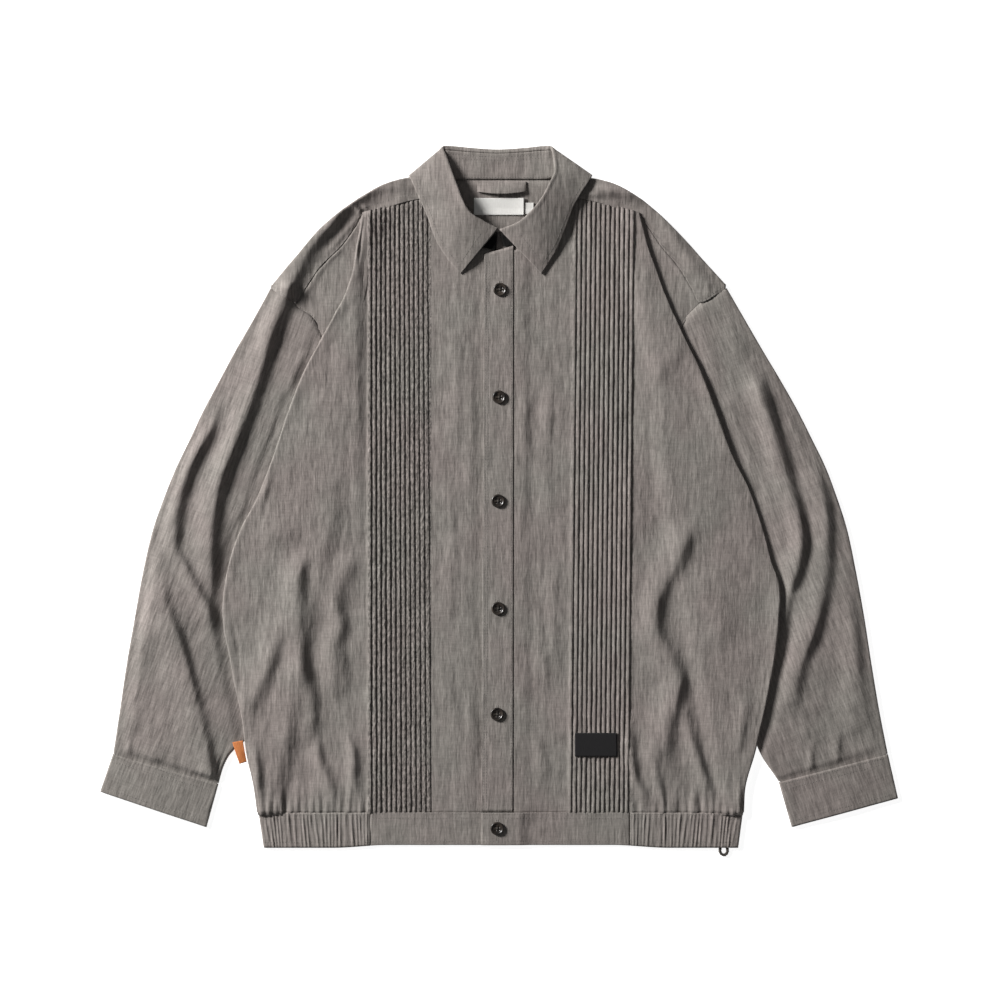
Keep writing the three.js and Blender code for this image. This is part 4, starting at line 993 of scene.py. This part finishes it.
def sleeve_place(key):
    side = SIDE[key]
    outer, inner, armhole = SLEEVE_OUTER[key], SLEEVE_INNER[key], ARMHOLE[key]

    def section(t, v):
        straight = mix(outer.along(v), inner.along(v), t[..., None])
        chord = mix(armhole.along(0.0), armhole.along(1.0), t[..., None])
        return straight + (armhole.along(t) - chord) * ((1 - v) ** 2)[..., None]

    def upper(t, v, spot):
        fold_w = read(BODY[key], "y", "fold", np.clip(spot[..., 1], HEM_Y, SHOULDER_SEAM_Y))
        showing = smooth((spot[..., 0] - fold_w - 1) / 14)
        length = np.linalg.norm(outer.along(v) - inner.along(v), axis=-1)
        from_edge = t * length
        roll = 2 * (SLEEVE_OUTER_RADIUS - SLEEVE_INNER_RADIUS) * smooth(1 - from_edge / 25)
        ends = smooth((v + 0.02) / 0.03) * smooth((1 - v) / 0.022)
        inside = smooth((from_edge - 2) / 15)
        x, y = side * spot[..., 0], spot[..., 1]
        uneven = unevenness(x, y, 31, (0.4, 52), (0.14, 17))
        lean = SLEEVE_LEAN[key] * smooth((v - 0.35) / 0.3) * (1 - t) * smooth(from_edge / 50)
        folds = 1.6 + fold_rise(SLEEVE_FOLDS[key], x, y) + uneven + lean
        gathers = 0.7 * smooth(1 - (1 - v) / 0.09) * np.sin(t * 37 + 1.3 * np.sin(t * 11))
        return Z_SLEEVE_TOP + roll + showing * inside * (ends * folds + 0.25 * gathers)

    def place(u, v):
        """Past its two ends the upper side runs on as a tongue, under the yoke and in the cuff."""
        under_yoke, in_cuff = np.clip(-v, 0, 1), np.clip(v - 1, 0, 1)
        v = np.clip(v, 0, 1)
        across = inner.along(v) - outer.along(v)
        length = np.linalg.norm(across, axis=-1, keepdims=True)
        inwards = across / length
        length = length[..., 0]
        near = (SLEEVE_OUTER_RADIUS + SOLID_HALF) / length
        far = 1 - (SLEEVE_INNER_RADIUS + SOLID_HALF) / length
        t = np.where(u <= 2, near, mix(near, far, np.clip(u - 2, 0, 1)))
        t = np.where(u <= 1, mix(far, near, u), t)
        spot = section(t, v)
        z = np.where(u <= 1, Z_FLOOR_LAYER, upper(t, v, spot))
        a = np.clip(u - 1, 0, 1) * math.pi
        outer_roll = section(near, v) - inwards * (SLEEVE_OUTER_RADIUS * np.sin(a))[..., None]
        b = np.clip(u - 3, 0, 1) * math.pi
        inner_roll = section(far, v) + inwards * (SLEEVE_INNER_RADIUS * np.sin(b))[..., None]
        rolling = (u > 1) & (u < 2)
        spot = pick(rolling, outer_roll, pick(u > 3, inner_roll, spot))
        z = np.where(rolling, Z_FLOOR_LAYER + SLEEVE_OUTER_RADIUS * (1 - np.cos(a)), z)
        z = np.where(u > 3, Z_FLOOR_LAYER + SLEEVE_INNER_RADIUS * (1 + np.cos(b)), z)
        shown = np.where((u > 2) & (u < 3), 1.0, 0.05)
        reach = TONGUE * shown
        near_start, near_end = np.full_like(v, 0.02), np.full_like(v, 0.98)
        upwards = unit(section(t, 0 * v) - section(t, near_start))
        downwards = unit(section(t, 0 * v + 1) - section(t, near_end))
        spot = spot + upwards * (under_yoke * reach)[..., None] + downwards * (in_cuff * reach)[..., None]
        z = z - (1.1 * smooth(2 * under_yoke) + 0.2 * smooth(2 * in_cuff)) * shown
        return points(side * spot[..., 0], spot[..., 1], z)

    return place


SLEEVE_GRAIN = 19


def sleeve_mesh(key):
    us = stations((0, 1, 8), (1, 2, 7), (2, 3, 64), (3, 4, 4))
    vs = np.concatenate([[-1, -0.3], stations((0, 0.86, 150), (0.86, 1, 34)), [1.3, 2]])
    facing = SIDE[key]
    name = f"sleeve_{key}_cloth"
    return cloth(name, sleeve_place(key), us, vs, facing=facing, ring=True, grain=facing * SLEEVE_GRAIN)


CUFF_WALL = 1.8
CUFF_RADIUS = 1.35
CUFF_FLOOR = CUFF_WALL / 2


def cuff_place(key):
    side = SIDE[key]
    (outer_top, outer_low), (inner_top, inner_low) = (
        [np.array([*corner, 0.0]) for corner in CUFF[key][edge]] for edge in ("outer", "inner")
    )

    def place(u, v):
        start = (0.02 + 0.98 * v)[..., None]
        outer = mix(outer_top, outer_low, start)
        inner = mix(inner_top, inner_low, start)
        inwards = unit(inner - outer)
        outer = outer + inwards * (CUFF_RADIUS + CUFF_WALL / 2)
        inner = inner - inwards * (CUFF_RADIUS + CUFF_WALL / 2)
        part = np.clip(np.floor(u), 0, 3)
        t = u - part
        sine, cosine = np.sin(t * math.pi), np.cos(t * math.pi)
        flat = pick(part == 0, mix(inner, outer, t[..., None]), mix(outer, inner, t[..., None]))
        bulge = inwards * (CUFF_RADIUS * sine)[..., None]
        spot = pick(part == 1, outer - bulge, pick(part == 3, inner + bulge, flat))
        swell = 1.2 * sine**2 + 0.25 * ripples(spot[..., 0], spot[..., 1], 38, 51)
        z = np.select(
            [part == 0, part == 1, part == 2],
            [
                np.full_like(t, CUFF_FLOOR),
                CUFF_FLOOR + CUFF_RADIUS * (1 - cosine),
                CUFF_FLOOR + 2 * CUFF_RADIUS + swell * window(t, 0.08, 0.08),
            ],
            CUFF_FLOOR + CUFF_RADIUS * (1 + cosine),
        )
        return points(side * spot[..., 0], spot[..., 1], z)

    return place


def cuff_mesh(key):
    us = stations((0, 1, 8), (1, 2, 8), (2, 3, 48), (3, 4, 8))
    vs = stations((0, 1, 24))
    facing = SIDE[key]
    name = f"cuff_{key}_cloth"
    return cloth(name, cuff_place(key), us, vs, CUFF_WALL, facing, ring=True, grain=facing * SLEEVE_GRAIN)


# Placket and collar
BAND_WALL = 2.0
PLACKET = {"hem_in": -21, "top_in": -18, "hem_out": 12.6, "top_out": 13.2, "top": 263}
Z_PLACKET = 4.1


def placket_place(u, v):
    left = mix(PLACKET["top_in"], PLACKET["hem_in"], v)
    right = mix(PLACKET["top_out"], PLACKET["hem_out"], v)
    x = mix(left, right, u)
    y = mix(PLACKET["top"] + 9 * u, HEM_Y + GAP, v)
    puff = unevenness(x, y, 61, (0.22, 40), (0.1, 13)) * window(u, 0.15, 0.15)
    return points(x, y, Z_PLACKET + puff + 0.12)


def seam_groove(*lines):
    """Relief that sinks the outer side a little along stitched lines, by share of width."""

    def relief(u, v, middle):
        sunk = sum(bell(u - line, 0.022) for line in lines)
        return -0.28 * sunk, np.zeros_like(u)

    return relief


def placket_mesh():
    us = stations((0, 0.12, 6), (0.12, 0.88, 12), (0.88, 1, 6))
    relief = seam_groove(0.09, 0.93)
    return cloth("placket_cloth", placket_place, us, stations((0, 1, 170)), BAND_WALL, relief=relief)


COLLAR_WALL = 1.4
STAND_START = 0.115
LEAF_START = 0.1
LEAF_CROWN = 0.35


def stand_top(u):
    crest = COLLAR_FOLD.at(u)
    top = mix(crest, COLLAR_SEAM.at(u), STAND_START)
    top[..., 2] += mix(1.5, -2.0, smooth((crest[..., 2] - 3) / 4))
    return top


def leaf_place(u, v):
    """Over v from -1 to 0 the leaf rolls over the fold, then it lies out to its edge."""
    crest, edge = COLLAR_FOLD.at(u), COLLAR_EDGE.at(u)
    standing = smooth((crest[..., 2] - 4) / 8)

    def lying(share):
        spot = mix(crest, edge, share[..., None])
        spot[..., 2] += 1.2 * np.sin(math.pi * share) * standing
        spot[..., 2] += 0.25 * ripples(spot[..., 0], spot[..., 1], 30, 71) * smooth(share / 0.3)
        spot[..., 2] = np.maximum(spot[..., 2], COLLAR_WALL / 2)
        return spot

    first, last = stand_top(u), lying(np.full_like(u, LEAF_START))
    middle = crest + unit(2 * crest - first - last + 1e-6) * LEAF_CROWN
    control = 2 * middle - (first + last) / 2
    t = np.clip(v + 1, 0, 1)[..., None]
    roll = (1 - t) ** 2 * first + 2 * t * (1 - t) * control + t**2 * last
    return pick(v < 0, roll, lying(mix(LEAF_START, 1.0, np.clip(v, 0, 1))))


def leaf_mesh():
    vs = stations((-1, 0, 10), (0, 1, 26))
    return cloth("collar_leaf_cloth", leaf_place, stations((0, 1, 240)), vs, COLLAR_WALL)


def stand_place(u, v):
    top = stand_top(u)
    seam = COLLAR_SEAM.at(u)
    spot = mix(top, seam, mix(0.012, 1.0, v)[..., None])
    dent = (2.2 * bell(spot[..., 0] - 25, 3.5) + 1.4 * bell(spot[..., 0] + 36, 6)) * np.sin(math.pi * v)
    at_back = smooth((spot[..., 1] - 340) / 10)
    spot[..., 2] += at_back * (0.35 * ripples(spot[..., 0], spot[..., 1], 24, 72) - dent * 0.6 + 0.5)
    return spot


def stand_mesh():
    return cloth("collar_stand_cloth", stand_place, stations((0, 1, 220)), stations((0, 1, 18)), COLLAR_WALL)


# Hem band
BAND_TOP = HEM_Y - GAP
BAND_SEAM = 140
BAND_LOW_FRONT = -369
BAND_LOW_SIDE = -372
ELASTIC_WALL = 1.8
ELASTIC_RADIUS = 1.4
ELASTIC_TOP_W = {"right": 259.5, "left": 259}
ELASTIC_LOW_W = 254
Z_BAND = 3.2


def band_y(w, v):
    low = mix(BAND_LOW_FRONT, BAND_LOW_SIDE, smooth((w - 120) / 60))
    return mix(BAND_TOP, low, v)


def band_right_place(u, v):
    w = mix(BAND_SEAM - GAP / 2, INNER_EDGE["right"], u)
    y = band_y(w, v)
    return points(-w, y, Z_BAND + 0.22 * ripples(w, y, 30, 81) * smooth(v / 0.3))


def band_left_place(u, v):
    w = mix(PLACKET["hem_in"], BAND_SEAM - 2, u)
    y = band_y(w, v)
    lap = (BAND_WALL + GAP) * smooth((34 - w) / 16)
    return points(w, y, Z_BAND + lap + 0.22 * ripples(w, y, 30, 82) * smooth(v / 0.3))


GATHERS = 25


def elastic_place(u, v):
    low = ELASTIC_WALL / 2
    part = np.clip(np.floor(u), 0, 4)
    t = u - part
    side = np.where((part < 2) | ((part == 2) & (t < 0.5)), -1, 1)
    reach = mix(np.where(side < 0, ELASTIC_TOP_W["right"], ELASTIC_TOP_W["left"]), ELASTIC_LOW_W, v)
    centre = reach - ELASTIC_RADIUS - ELASTIC_WALL / 2
    seam = np.where(part < 2, BAND_SEAM + GAP / 2, BAND_SEAM - 2 + GAP)
    out = np.where(part == 0, t, 1 - t)
    angle = np.where(part == 1, t, 1 - t) * math.pi
    front = (part == 0) | (part == 4)
    turn = (part == 1) | (part == 3)
    turned = centre + ELASTIC_RADIUS * np.sin(angle)
    w = np.select([front, turn], [mix(seam, centre, out), turned], centre * np.abs(2 * t - 1))
    upper = np.full_like(u, low + 2 * ELASTIC_RADIUS)
    z = np.select([front, turn], [upper, low + ELASTIC_RADIUS * (1 + np.cos(angle))], low)
    return points(side * w, band_y(w, v), z)


def elastic_relief(u, v, middle):
    """Gathers, uneven in depth, that lean and swell down the band."""
    front = np.where(u < 1, u, 5 - u)
    present = ((u < 1) | (u > 4)).astype(float)
    w = np.abs(middle[..., 0])
    lean = 1.1 * np.sin(w * 0.13 + 0.6) * v + 0.8 * np.sin(w * 0.21)
    phase = (front * GATHERS + lean * 0.35) * 2 * math.pi
    depth = 0.7 + 0.3 * np.sin(w * 0.37) + 0.24 * np.sin(w * 0.83 + 1)
    depth = depth * (1 + 0.35 * np.sin(v * 5 + w * 0.5))
    swell = window(v, 0.14, 0.1) * 0.75 + 0.25
    rise = 0.8 * depth * swell * (0.5 - 0.5 * np.cos(phase)) ** 1.3
    return rise * present * window(front, 0.03, 0.04), np.zeros_like(u)


def elastic_mesh():
    front = GATHERS * 8
    us = stations((0, 1, front), (1, 2, 6), (2, 3, 24), (3, 4, 6), (4, 5, front))
    vs = stations((0, 1, 16))
    return cloth("hem_band_elastic_cloth", elastic_place, us, vs, ELASTIC_WALL, relief=elastic_relief)


def band_relief(u, v, middle):
    return -0.22 * (bell(v - 0.05, 0.025) + bell(v - 0.2, 0.03)), np.zeros_like(u)


def band_meshes():
    vs = stations((0, 0.25, 10), (0.25, 0.9, 12), (0.9, 1, 3))
    for key, place in (("right", band_right_place), ("left", band_left_place)):
        name = f"hem_band_{key}_cloth"
        yield key, cloth(name, place, stations((0, 1, 76)), vs, BAND_WALL, relief=band_relief)


# Labels, tapes and cords
LABEL_WALL = 0.8
LABELS = {
    "neck_label": {"x": -2, "y": 314, "width": 54, "height": 18, "curl": 0.9, "slot": "label_white"},
    "size_tab": {"x": 30.4, "y": 312, "width": 9, "height": 12, "curl": 0.2, "slot": "label_white"},
    "front_label": {"x": 101.5, "y": -261.5, "width": 45, "height": 25, "curl": 0, "slot": "label_black"},
}
Z_ON_TUCKS = Z_FRONT + SOLID_HALF + 1.3


def yoke_top(x, y):
    return 1.2 + yoke_raise(x, y)


def label_mesh(name):
    """A flat tape, on the tucks or on the yoke, that curls up a little at its two ends."""
    label = LABELS[name]

    def place(u, v):
        x = label["x"] + (u - 0.5) * label["width"]
        y = label["y"] - (v - 0.5) * label["height"]
        level = yoke_top(x, y) if label["y"] > YOKE_SEAM_Y else Z_ON_TUCKS
        lift = label["curl"] * (2 * np.abs(u - 0.5)) ** 4
        return points(x, y, level + GAP + 0.5 + lift)

    return cloth(f"{name}_tape", place, stations((0, 1, 40)), stations((0, 1, 24)), LABEL_WALL)


HANGER = {"right": -25, "left": 27, "top": 340.5, "low": 329.5}
HANGER_LIFT = 4.2


def hanger_place(u, v):
    x = mix(HANGER["right"], HANGER["left"], u)
    arch = np.sin(math.pi * u)
    y = mix(HANGER["top"], HANGER["low"], v) - 2.5 * arch * v
    z = yoke_top(x, y) + GAP + 0.5 + HANGER_LIFT * arch**0.5 * v
    return points(x, y, z + 0.6 * np.sin(math.pi * v) * arch)


SIDE_TAB = {"top": -258, "low": -281, "inner": (276, 271.8), "outer": (287, 279.5)}
Z_SIDE_TAB = 5.6


def side_tab_place(u, v):
    y = mix(SIDE_TAB["top"], SIDE_TAB["low"], v) + 2.2 * (0.5 - u)
    w = mix(mix(*SIDE_TAB["inner"], v), mix(*SIDE_TAB["outer"], v), u)
    bulge = 0.8 * np.sin(math.pi * v) + 0.4 * np.sin(math.pi * u)
    return points(-w, y, Z_SIDE_TAB + bulge)


HEM_LOOP = Curve([
    (235.5, -371, 1.9), (234.4, -375, 1.9), (235.6, -378.4, 1.9), (238.5, -380, 1.9),
    (241.4, -378.4, 1.9), (242.6, -375, 1.9), (241.5, -371, 1.9),
])
CORD_RADIUS = 1.75


def hem_loop_place(u, v):
    """A twisted cord: v runs along it and u round it."""
    radius = CORD_RADIUS * (0.88 + 0.12 * np.cos(2 * (u * 2 * math.pi - v * 28)))
    centre = HEM_LOOP.at(v)
    ahead = unit(HEM_LOOP.at(np.clip(v + 0.01, 0, 1)) - HEM_LOOP.at(np.clip(v - 0.01, 0, 1)))
    sideways = np.cross(ahead, [0.0, 0.0, 1.0])
    angle = (u * 2 * math.pi)[..., None]
    return centre + radius[..., None] * (np.cos(angle) * sideways + np.sin(angle) * np.array([0, 0, 1.0]))


CORD_SIDES = 16
CORD_STEPS = 64


def hem_loop_mesh():
    """The cord is a tube round its line, with closed ends."""
    bm = bmesh.new()
    bmesh.ops.create_grid(bm, x_segments=CORD_SIDES, y_segments=CORD_STEPS, size=0.5)
    for vert in bm.verts:
        u, v = np.array(vert.co.x + 0.5), np.array(vert.co.y + 0.5)
        vert.co = Vector(hem_loop_place(u, v) * MM)
    bmesh.ops.remove_doubles(bm, verts=list(bm.verts), dist=1e-6)
    rims = [edge for edge in bm.edges if edge.is_boundary]
    bmesh.ops.holes_fill(bm, edges=rims, sides=CORD_SIDES + 2)
    return tidied(mesh_from(bm, "hem_loop_cord"))


BUTTON_PLACES = [(-1, 225), (-2, 110), (-3, -1), (-3, -116), (-4, -229), (-4, -351)]
BUTTON_PROFILE = [
    (0, 0), (5.9, 0), (6.7, 0.25), (7.15, 0.9), (7.2, 1.4), (7.0, 2.0), (6.5, 2.35), (5.9, 2.4),
    (5.4, 2.25), (5.0, 1.85), (4.4, 1.6), (0, 1.5),
]
HOLES = [(-1.35, -1.35), (1.35, -1.35), (-1.35, 1.35), (1.35, 1.35)]
HOLE_RADIUS = 0.75


def button_base(y):
    return (Z_BAND + BAND_WALL + GAP if y < HEM_Y else Z_PLACKET) + BAND_WALL / 2 + GAP


def button_mesh(name, x, y):
    """A dished disc spun from its profile."""
    bm = bmesh.new()
    verts = [bm.verts.new((r, 0, z)) for r, z in BUTTON_PROFILE]
    edges = [bm.edges.new(pair) for pair in zip(verts, verts[1:])]
    bmesh.ops.spin(
        bm, geom=verts + edges, axis=(0, 0, 1), cent=(0, 0, 0), steps=40, angle=2 * math.pi,
        use_merge=True,
    )
    bmesh.ops.remove_doubles(bm, verts=list(bm.verts), dist=1e-4)
    bmesh.ops.scale(bm, vec=(MM, MM, MM), verts=list(bm.verts))
    bmesh.ops.translate(bm, vec=(x * MM, y * MM, button_base(y) * MM), verts=list(bm.verts))
    return tidied(mesh_from(bm, name))


def hole_drills(x, y):
    bm = bmesh.new()
    for dx, dy in HOLES:
        spot = Matrix.Translation(((x + dx) * MM, (y + dy) * MM, (button_base(y) + 1) * MM))
        bmesh.ops.create_cone(
            bm, cap_ends=True, segments=12, radius1=HOLE_RADIUS * MM, radius2=HOLE_RADIUS * MM,
            depth=6 * MM, matrix=spot,
        )
    return mesh_from(bm, "drills")


def drilled(piece, x, y):
    """Cuts four holes through a button."""
    drills = placed("drills", hole_drills(x, y))
    cut = piece.modifiers.new("holes", "BOOLEAN")
    cut.operation = "DIFFERENCE"
    cut.solver = "EXACT"
    cut.object = drills
    bpy.context.view_layer.update()
    evaluated = piece.evaluated_get(bpy.context.evaluated_depsgraph_get())
    made = bpy.data.meshes.new_from_object(evaluated)
    piece.modifiers.clear()
    made.name = piece.name
    piece.data = made
    bpy.data.objects.remove(drills)


# Stitches
def beads(name, spots, half):
    """Many small rounded stitches as one mesh: spots are (centre, direction, up) in mm."""
    bm = bmesh.new()
    long, wide, high = half
    for centre, ahead, up in spots:
        sideways = up.cross(ahead).normalized()
        turn = Matrix((ahead * long * MM, sideways * wide * MM, up * high * MM)).transposed().to_4x4()
        turn.translation = centre * MM
        bmesh.ops.create_icosphere(bm, subdivisions=1, radius=1, matrix=turn)
    return tidied(mesh_from(bm, name))


STITCH_PITCH = 3.1
STITCH_HALF = (1.15, 0.24, 0.2)
CROSS_HALF = (2.1, 0.3, 0.3)
BAR_HALF = (0.62, 0.26, 0.3)
BAR_PITCH = 0.62
BAND_ROWS = (-336, -340.6, -365.5)
NEEDLE_START = 0.1


def topmost(under, x, y):
    """Where a needle coming straight down meets the highest of some pieces."""
    found = None
    for piece in under:
        hit, spot, normal, _ = piece.ray_cast(Vector((x * MM, y * MM, NEEDLE_START)), Vector((0, 0, -1)))
        if hit and (found is None or spot.z > found[0].z):
            found = (spot, normal)
    return found


def along_surface(under, line):
    """Stitch places along a line of (x, y) seen from above, laid on some pieces."""
    path = Curve(line)
    count = int(path.length[-1] / STITCH_PITCH)
    shares = (np.arange(count) + 0.5) / count
    half_step = 0.35 * STITCH_PITCH / path.length[-1]
    for share in shares:
        found = []
        for s in (share - half_step, share, share + half_step):
            x, y, _ = path.along(s)
            met = topmost(under, x, y)
            if met is not None:
                found.append((met[0] / MM, met[1]))
        if len(found) == 3:
            ahead = (found[2][0] - found[0][0]).normalized()
            yield found[1][0] + found[1][1] * 0.06, ahead, found[1][1]


def beside(curve, start, end, out, count=14):
    """Points beside a curve of (w, y), moved out at right angles to it."""
    shares = np.linspace(start, end, count)
    spots = curve.along(shares)
    ahead = unit(curve.along(shares + 0.01) - curve.along(shares - 0.01))
    return [(x - out * ay, y + out * ax) for (x, y, _), (ax, ay, _) in zip(spots, ahead)]


def stitch_rows(pieces):
    """Every visible row of topstitching: the pieces it lies on and its line."""
    placket, leaf, stand = ((pieces[name],) for name in ("placket", "collar_leaf", "collar_stand"))
    shoulder = (pieces["yoke"], pieces["front_right"], pieces["front_left"])
    band = tuple(pieces[f"hem_band_{part}"] for part in ("right", "left", "elastic"))
    yield placket, [(-15.6, 256), (-16.6, 100), (-17.4, -100), (-18.6, -330)]
    yield placket, [(-12.8, 256), (-13.8, 100), (-14.6, -100), (-15.8, -330)]
    yield placket, [(11.4, 262), (11.2, 100), (11, -100), (10.6, -330)]
    for y in BAND_ROWS:
        yield band, [(-254, y - 0.6), (-200, y - 0.3), (-137, y), (-70, y + 0.4), (-4, y + 0.5)]
        yield band, [(3, y + 0.5), (70, y + 0.4), (137, y), (200, y - 0.3), (254, y - 0.6)]
    for side, key in ((-1, "right"), (1, "left")):
        yield band, [(side * 138.2, -337), (side * 138.2, -352), (side * 138.2, -367)]
        outer, inner = (np.array(CUFF[key][edge], float) for edge in ("outer", "inner"))
        for share in (0.08, 0.2, 0.88):
            first = (mix(*outer, share) - (5, 1.5)) * (side, 1)
            last = (mix(*inner, share) + (5, 1.5)) * (side, 1)
            yield (pieces[f"cuff_{key}"],), [first, (first + last) / 2, last]
        for out in (2.2, 4.6):
            seam = beside(ARMHOLE[key], 0.012, 0.24, -out)
            yield shoulder, [(side * w, y) for w, y in seam]
        for start, end in ((0.03, 0.29), (0.71, 0.97)):
            edge = [leaf_place(np.array(u), np.array(0.88))[:2] for u in np.linspace(start, end, 14)]
            yield leaf, edge
    for u in (0.035, 0.965):
        yield leaf, [leaf_place(np.array(u), np.array(v))[:2] for v in np.linspace(0.12, 0.84, 8)]
    for v in (0.13, 0.26, 0.93):
        yield stand, [stand_place(np.array(u), np.array(v))[:2] for u in np.linspace(0.36, 0.66, 16)]
    for side in (-1, 1):
        edge = [(70, 331), (95, 326.5), (124, 319.5), (146, 313)]
        yield shoulder, [(side * w, y) for w, y in edge]


BUTTONHOLE_TOP = 9.6


def buttonhole_bars():
    """Close stitches beside the ends of each buttonhole that show past its button."""
    for x, y in BUTTON_PLACES:
        ends = [(6.2, BUTTONHOLE_TOP)]
        if y < HEM_Y:
            ends.append((-15.5, -6.8))
        for low, high in ends:
            for step in np.arange(low, high, BAR_PITCH):
                for across in (-0.8, 0.8):
                    yield x + across, y + step


# Building everything
def build():
    grey = cloth_finish()
    tucked = front_finish()
    white = tape_finish("white_satin_tape", (0.68, 0.67, 0.64, 1), (0.9, 0.89, 0.87, 1))
    black = tape_finish("black_woven_tape", (0.004, 0.0035, 0.0045, 1), (0.014, 0.013, 0.014, 1))
    orange = tape_finish("orange_tape", (0.3, 0.07, 0.015, 1), (0.82, 0.31, 0.1, 1))
    throat = stand_finish()
    horn = horn_finish()
    sewing = thread_finish("grey_sewing_thread", (0.13, 0.12, 0.11, 1), (0.27, 0.255, 0.24, 1))
    dark_thread = thread_finish("dark_thread", (0.02, 0.018, 0.016, 1), (0.07, 0.06, 0.05, 1))

    pieces = {}

    def sew(name, mesh, finish=grey):
        pieces[name] = add_piece(mesh, finish, "cloth", name)

    sew("back", cloth("back_cloth", back_place, stations((-1, 1, 24)), stations((0, 1, 30))))
    sew("yoke", yoke_mesh())
    for key in SIDE:
        sew(f"front_{key}", front_mesh(key), tucked)
        sew(f"sleeve_{key}", sleeve_mesh(key))
        sew(f"cuff_{key}", cuff_mesh(key))
    sew("placket", placket_mesh())
    sew("collar_leaf", leaf_mesh())
    sew("collar_stand", stand_mesh(), throat)
    for key, mesh in band_meshes():
        sew(f"hem_band_{key}", mesh)
    sew("hem_band_elastic", elastic_mesh())

    tapes = {"label_white": white, "label_black": black}
    for name, label in LABELS.items():
        add_piece(label_mesh(name), tapes[label["slot"]], label["slot"], name)
    hanger = cloth("hanger_loop_cloth", hanger_place, stations((0, 1, 60)), stations((0, 1, 14)))
    sew("hanger_loop", hanger)
    tab = cloth("side_tab_tape", side_tab_place, stations((0, 1, 20)), stations((0, 1, 20)), 1.2)
    add_piece(tab, orange, "tab_orange", "side_tab")
    add_piece(hem_loop_mesh(), dark_thread, "cord", "hem_loop")

    crosses = []
    for number, (x, y) in enumerate(BUTTON_PLACES, 1):
        button = add_piece(button_mesh(f"button_{number}_horn", x, y), horn, "button", f"button_{number}")
        drilled(button, x, y)
        for tilt in (1, -1):
            for k in (-0.45, 0, 0.45):
                centre = Vector((x - tilt * k * 0.7, y + k * 0.7, button_base(y) + 1.75))
                crosses.append((centre, Vector((1, tilt, 0)).normalized(), Vector((0, 0, 1))))
    add_piece(beads("button_thread", crosses, CROSS_HALF), dark_thread, "button")

    bpy.context.view_layer.update()
    spots = [spot for under, line in stitch_rows(pieces) for spot in along_surface(under, line)]
    add_piece(beads("topstitching", spots, STITCH_HALF), sewing, "cloth")
    buttoned = (pieces["placket"], pieces["hem_band_left"])
    bars = []
    for x, y in buttonhole_bars():
        met = topmost(buttoned, x, y)
        if met is not None:
            bars.append((met[0] / MM, Vector((1, 0, 0)), Vector((0, 0, 1))))
    add_piece(beads("buttonhole_stitches", bars, BAR_HALF), sewing, "cloth")
    return pieces


def make_floor():
    bm = bmesh.new()
    bmesh.ops.create_grid(bm, x_segments=1, y_segments=1, size=FLOOR_HALF)
    floor = placed("floor", mesh_from(bm, "floor"))
    floor.data.materials.append(floor_finish())


# Cut of each sheet that shows, in metres, all round on the tubes
CUTS = {
    "back": (0.51, 0.54), "yoke": (0.49, 0.2), "front_right": (0.40, 0.64), "front_left": (0.38, 0.64),
    "sleeve_right": (0.47, 0.54), "sleeve_left": (0.47, 0.54), "cuff_right": (0.24, 0.05),
    "cuff_left": (0.24, 0.05), "placket": (0.033, 0.597), "collar_leaf": (0.42, 0.05),
    "collar_stand": (0.35, 0.03), "hem_band_right": (0.151, 0.036), "hem_band_left": (0.159, 0.036),
    "hem_band_elastic": (0.76, 0.038), "hanger_loop": (0.054, 0.0135),
}

# Area of the cuts that are far from rectangles, in square metres
CUT_AREAS = {
    "back": 0.226, "yoke": 0.066, "sleeve_right": 0.142, "sleeve_left": 0.142, "collar_stand": 0.0082,
}


def declare():
    for name, flat in CUTS.items():
        CUT_AREAS.get(name)


make_camera()
make_floor()
make_lights()
made = build()
declare()

bpy.context.view_layer.update()
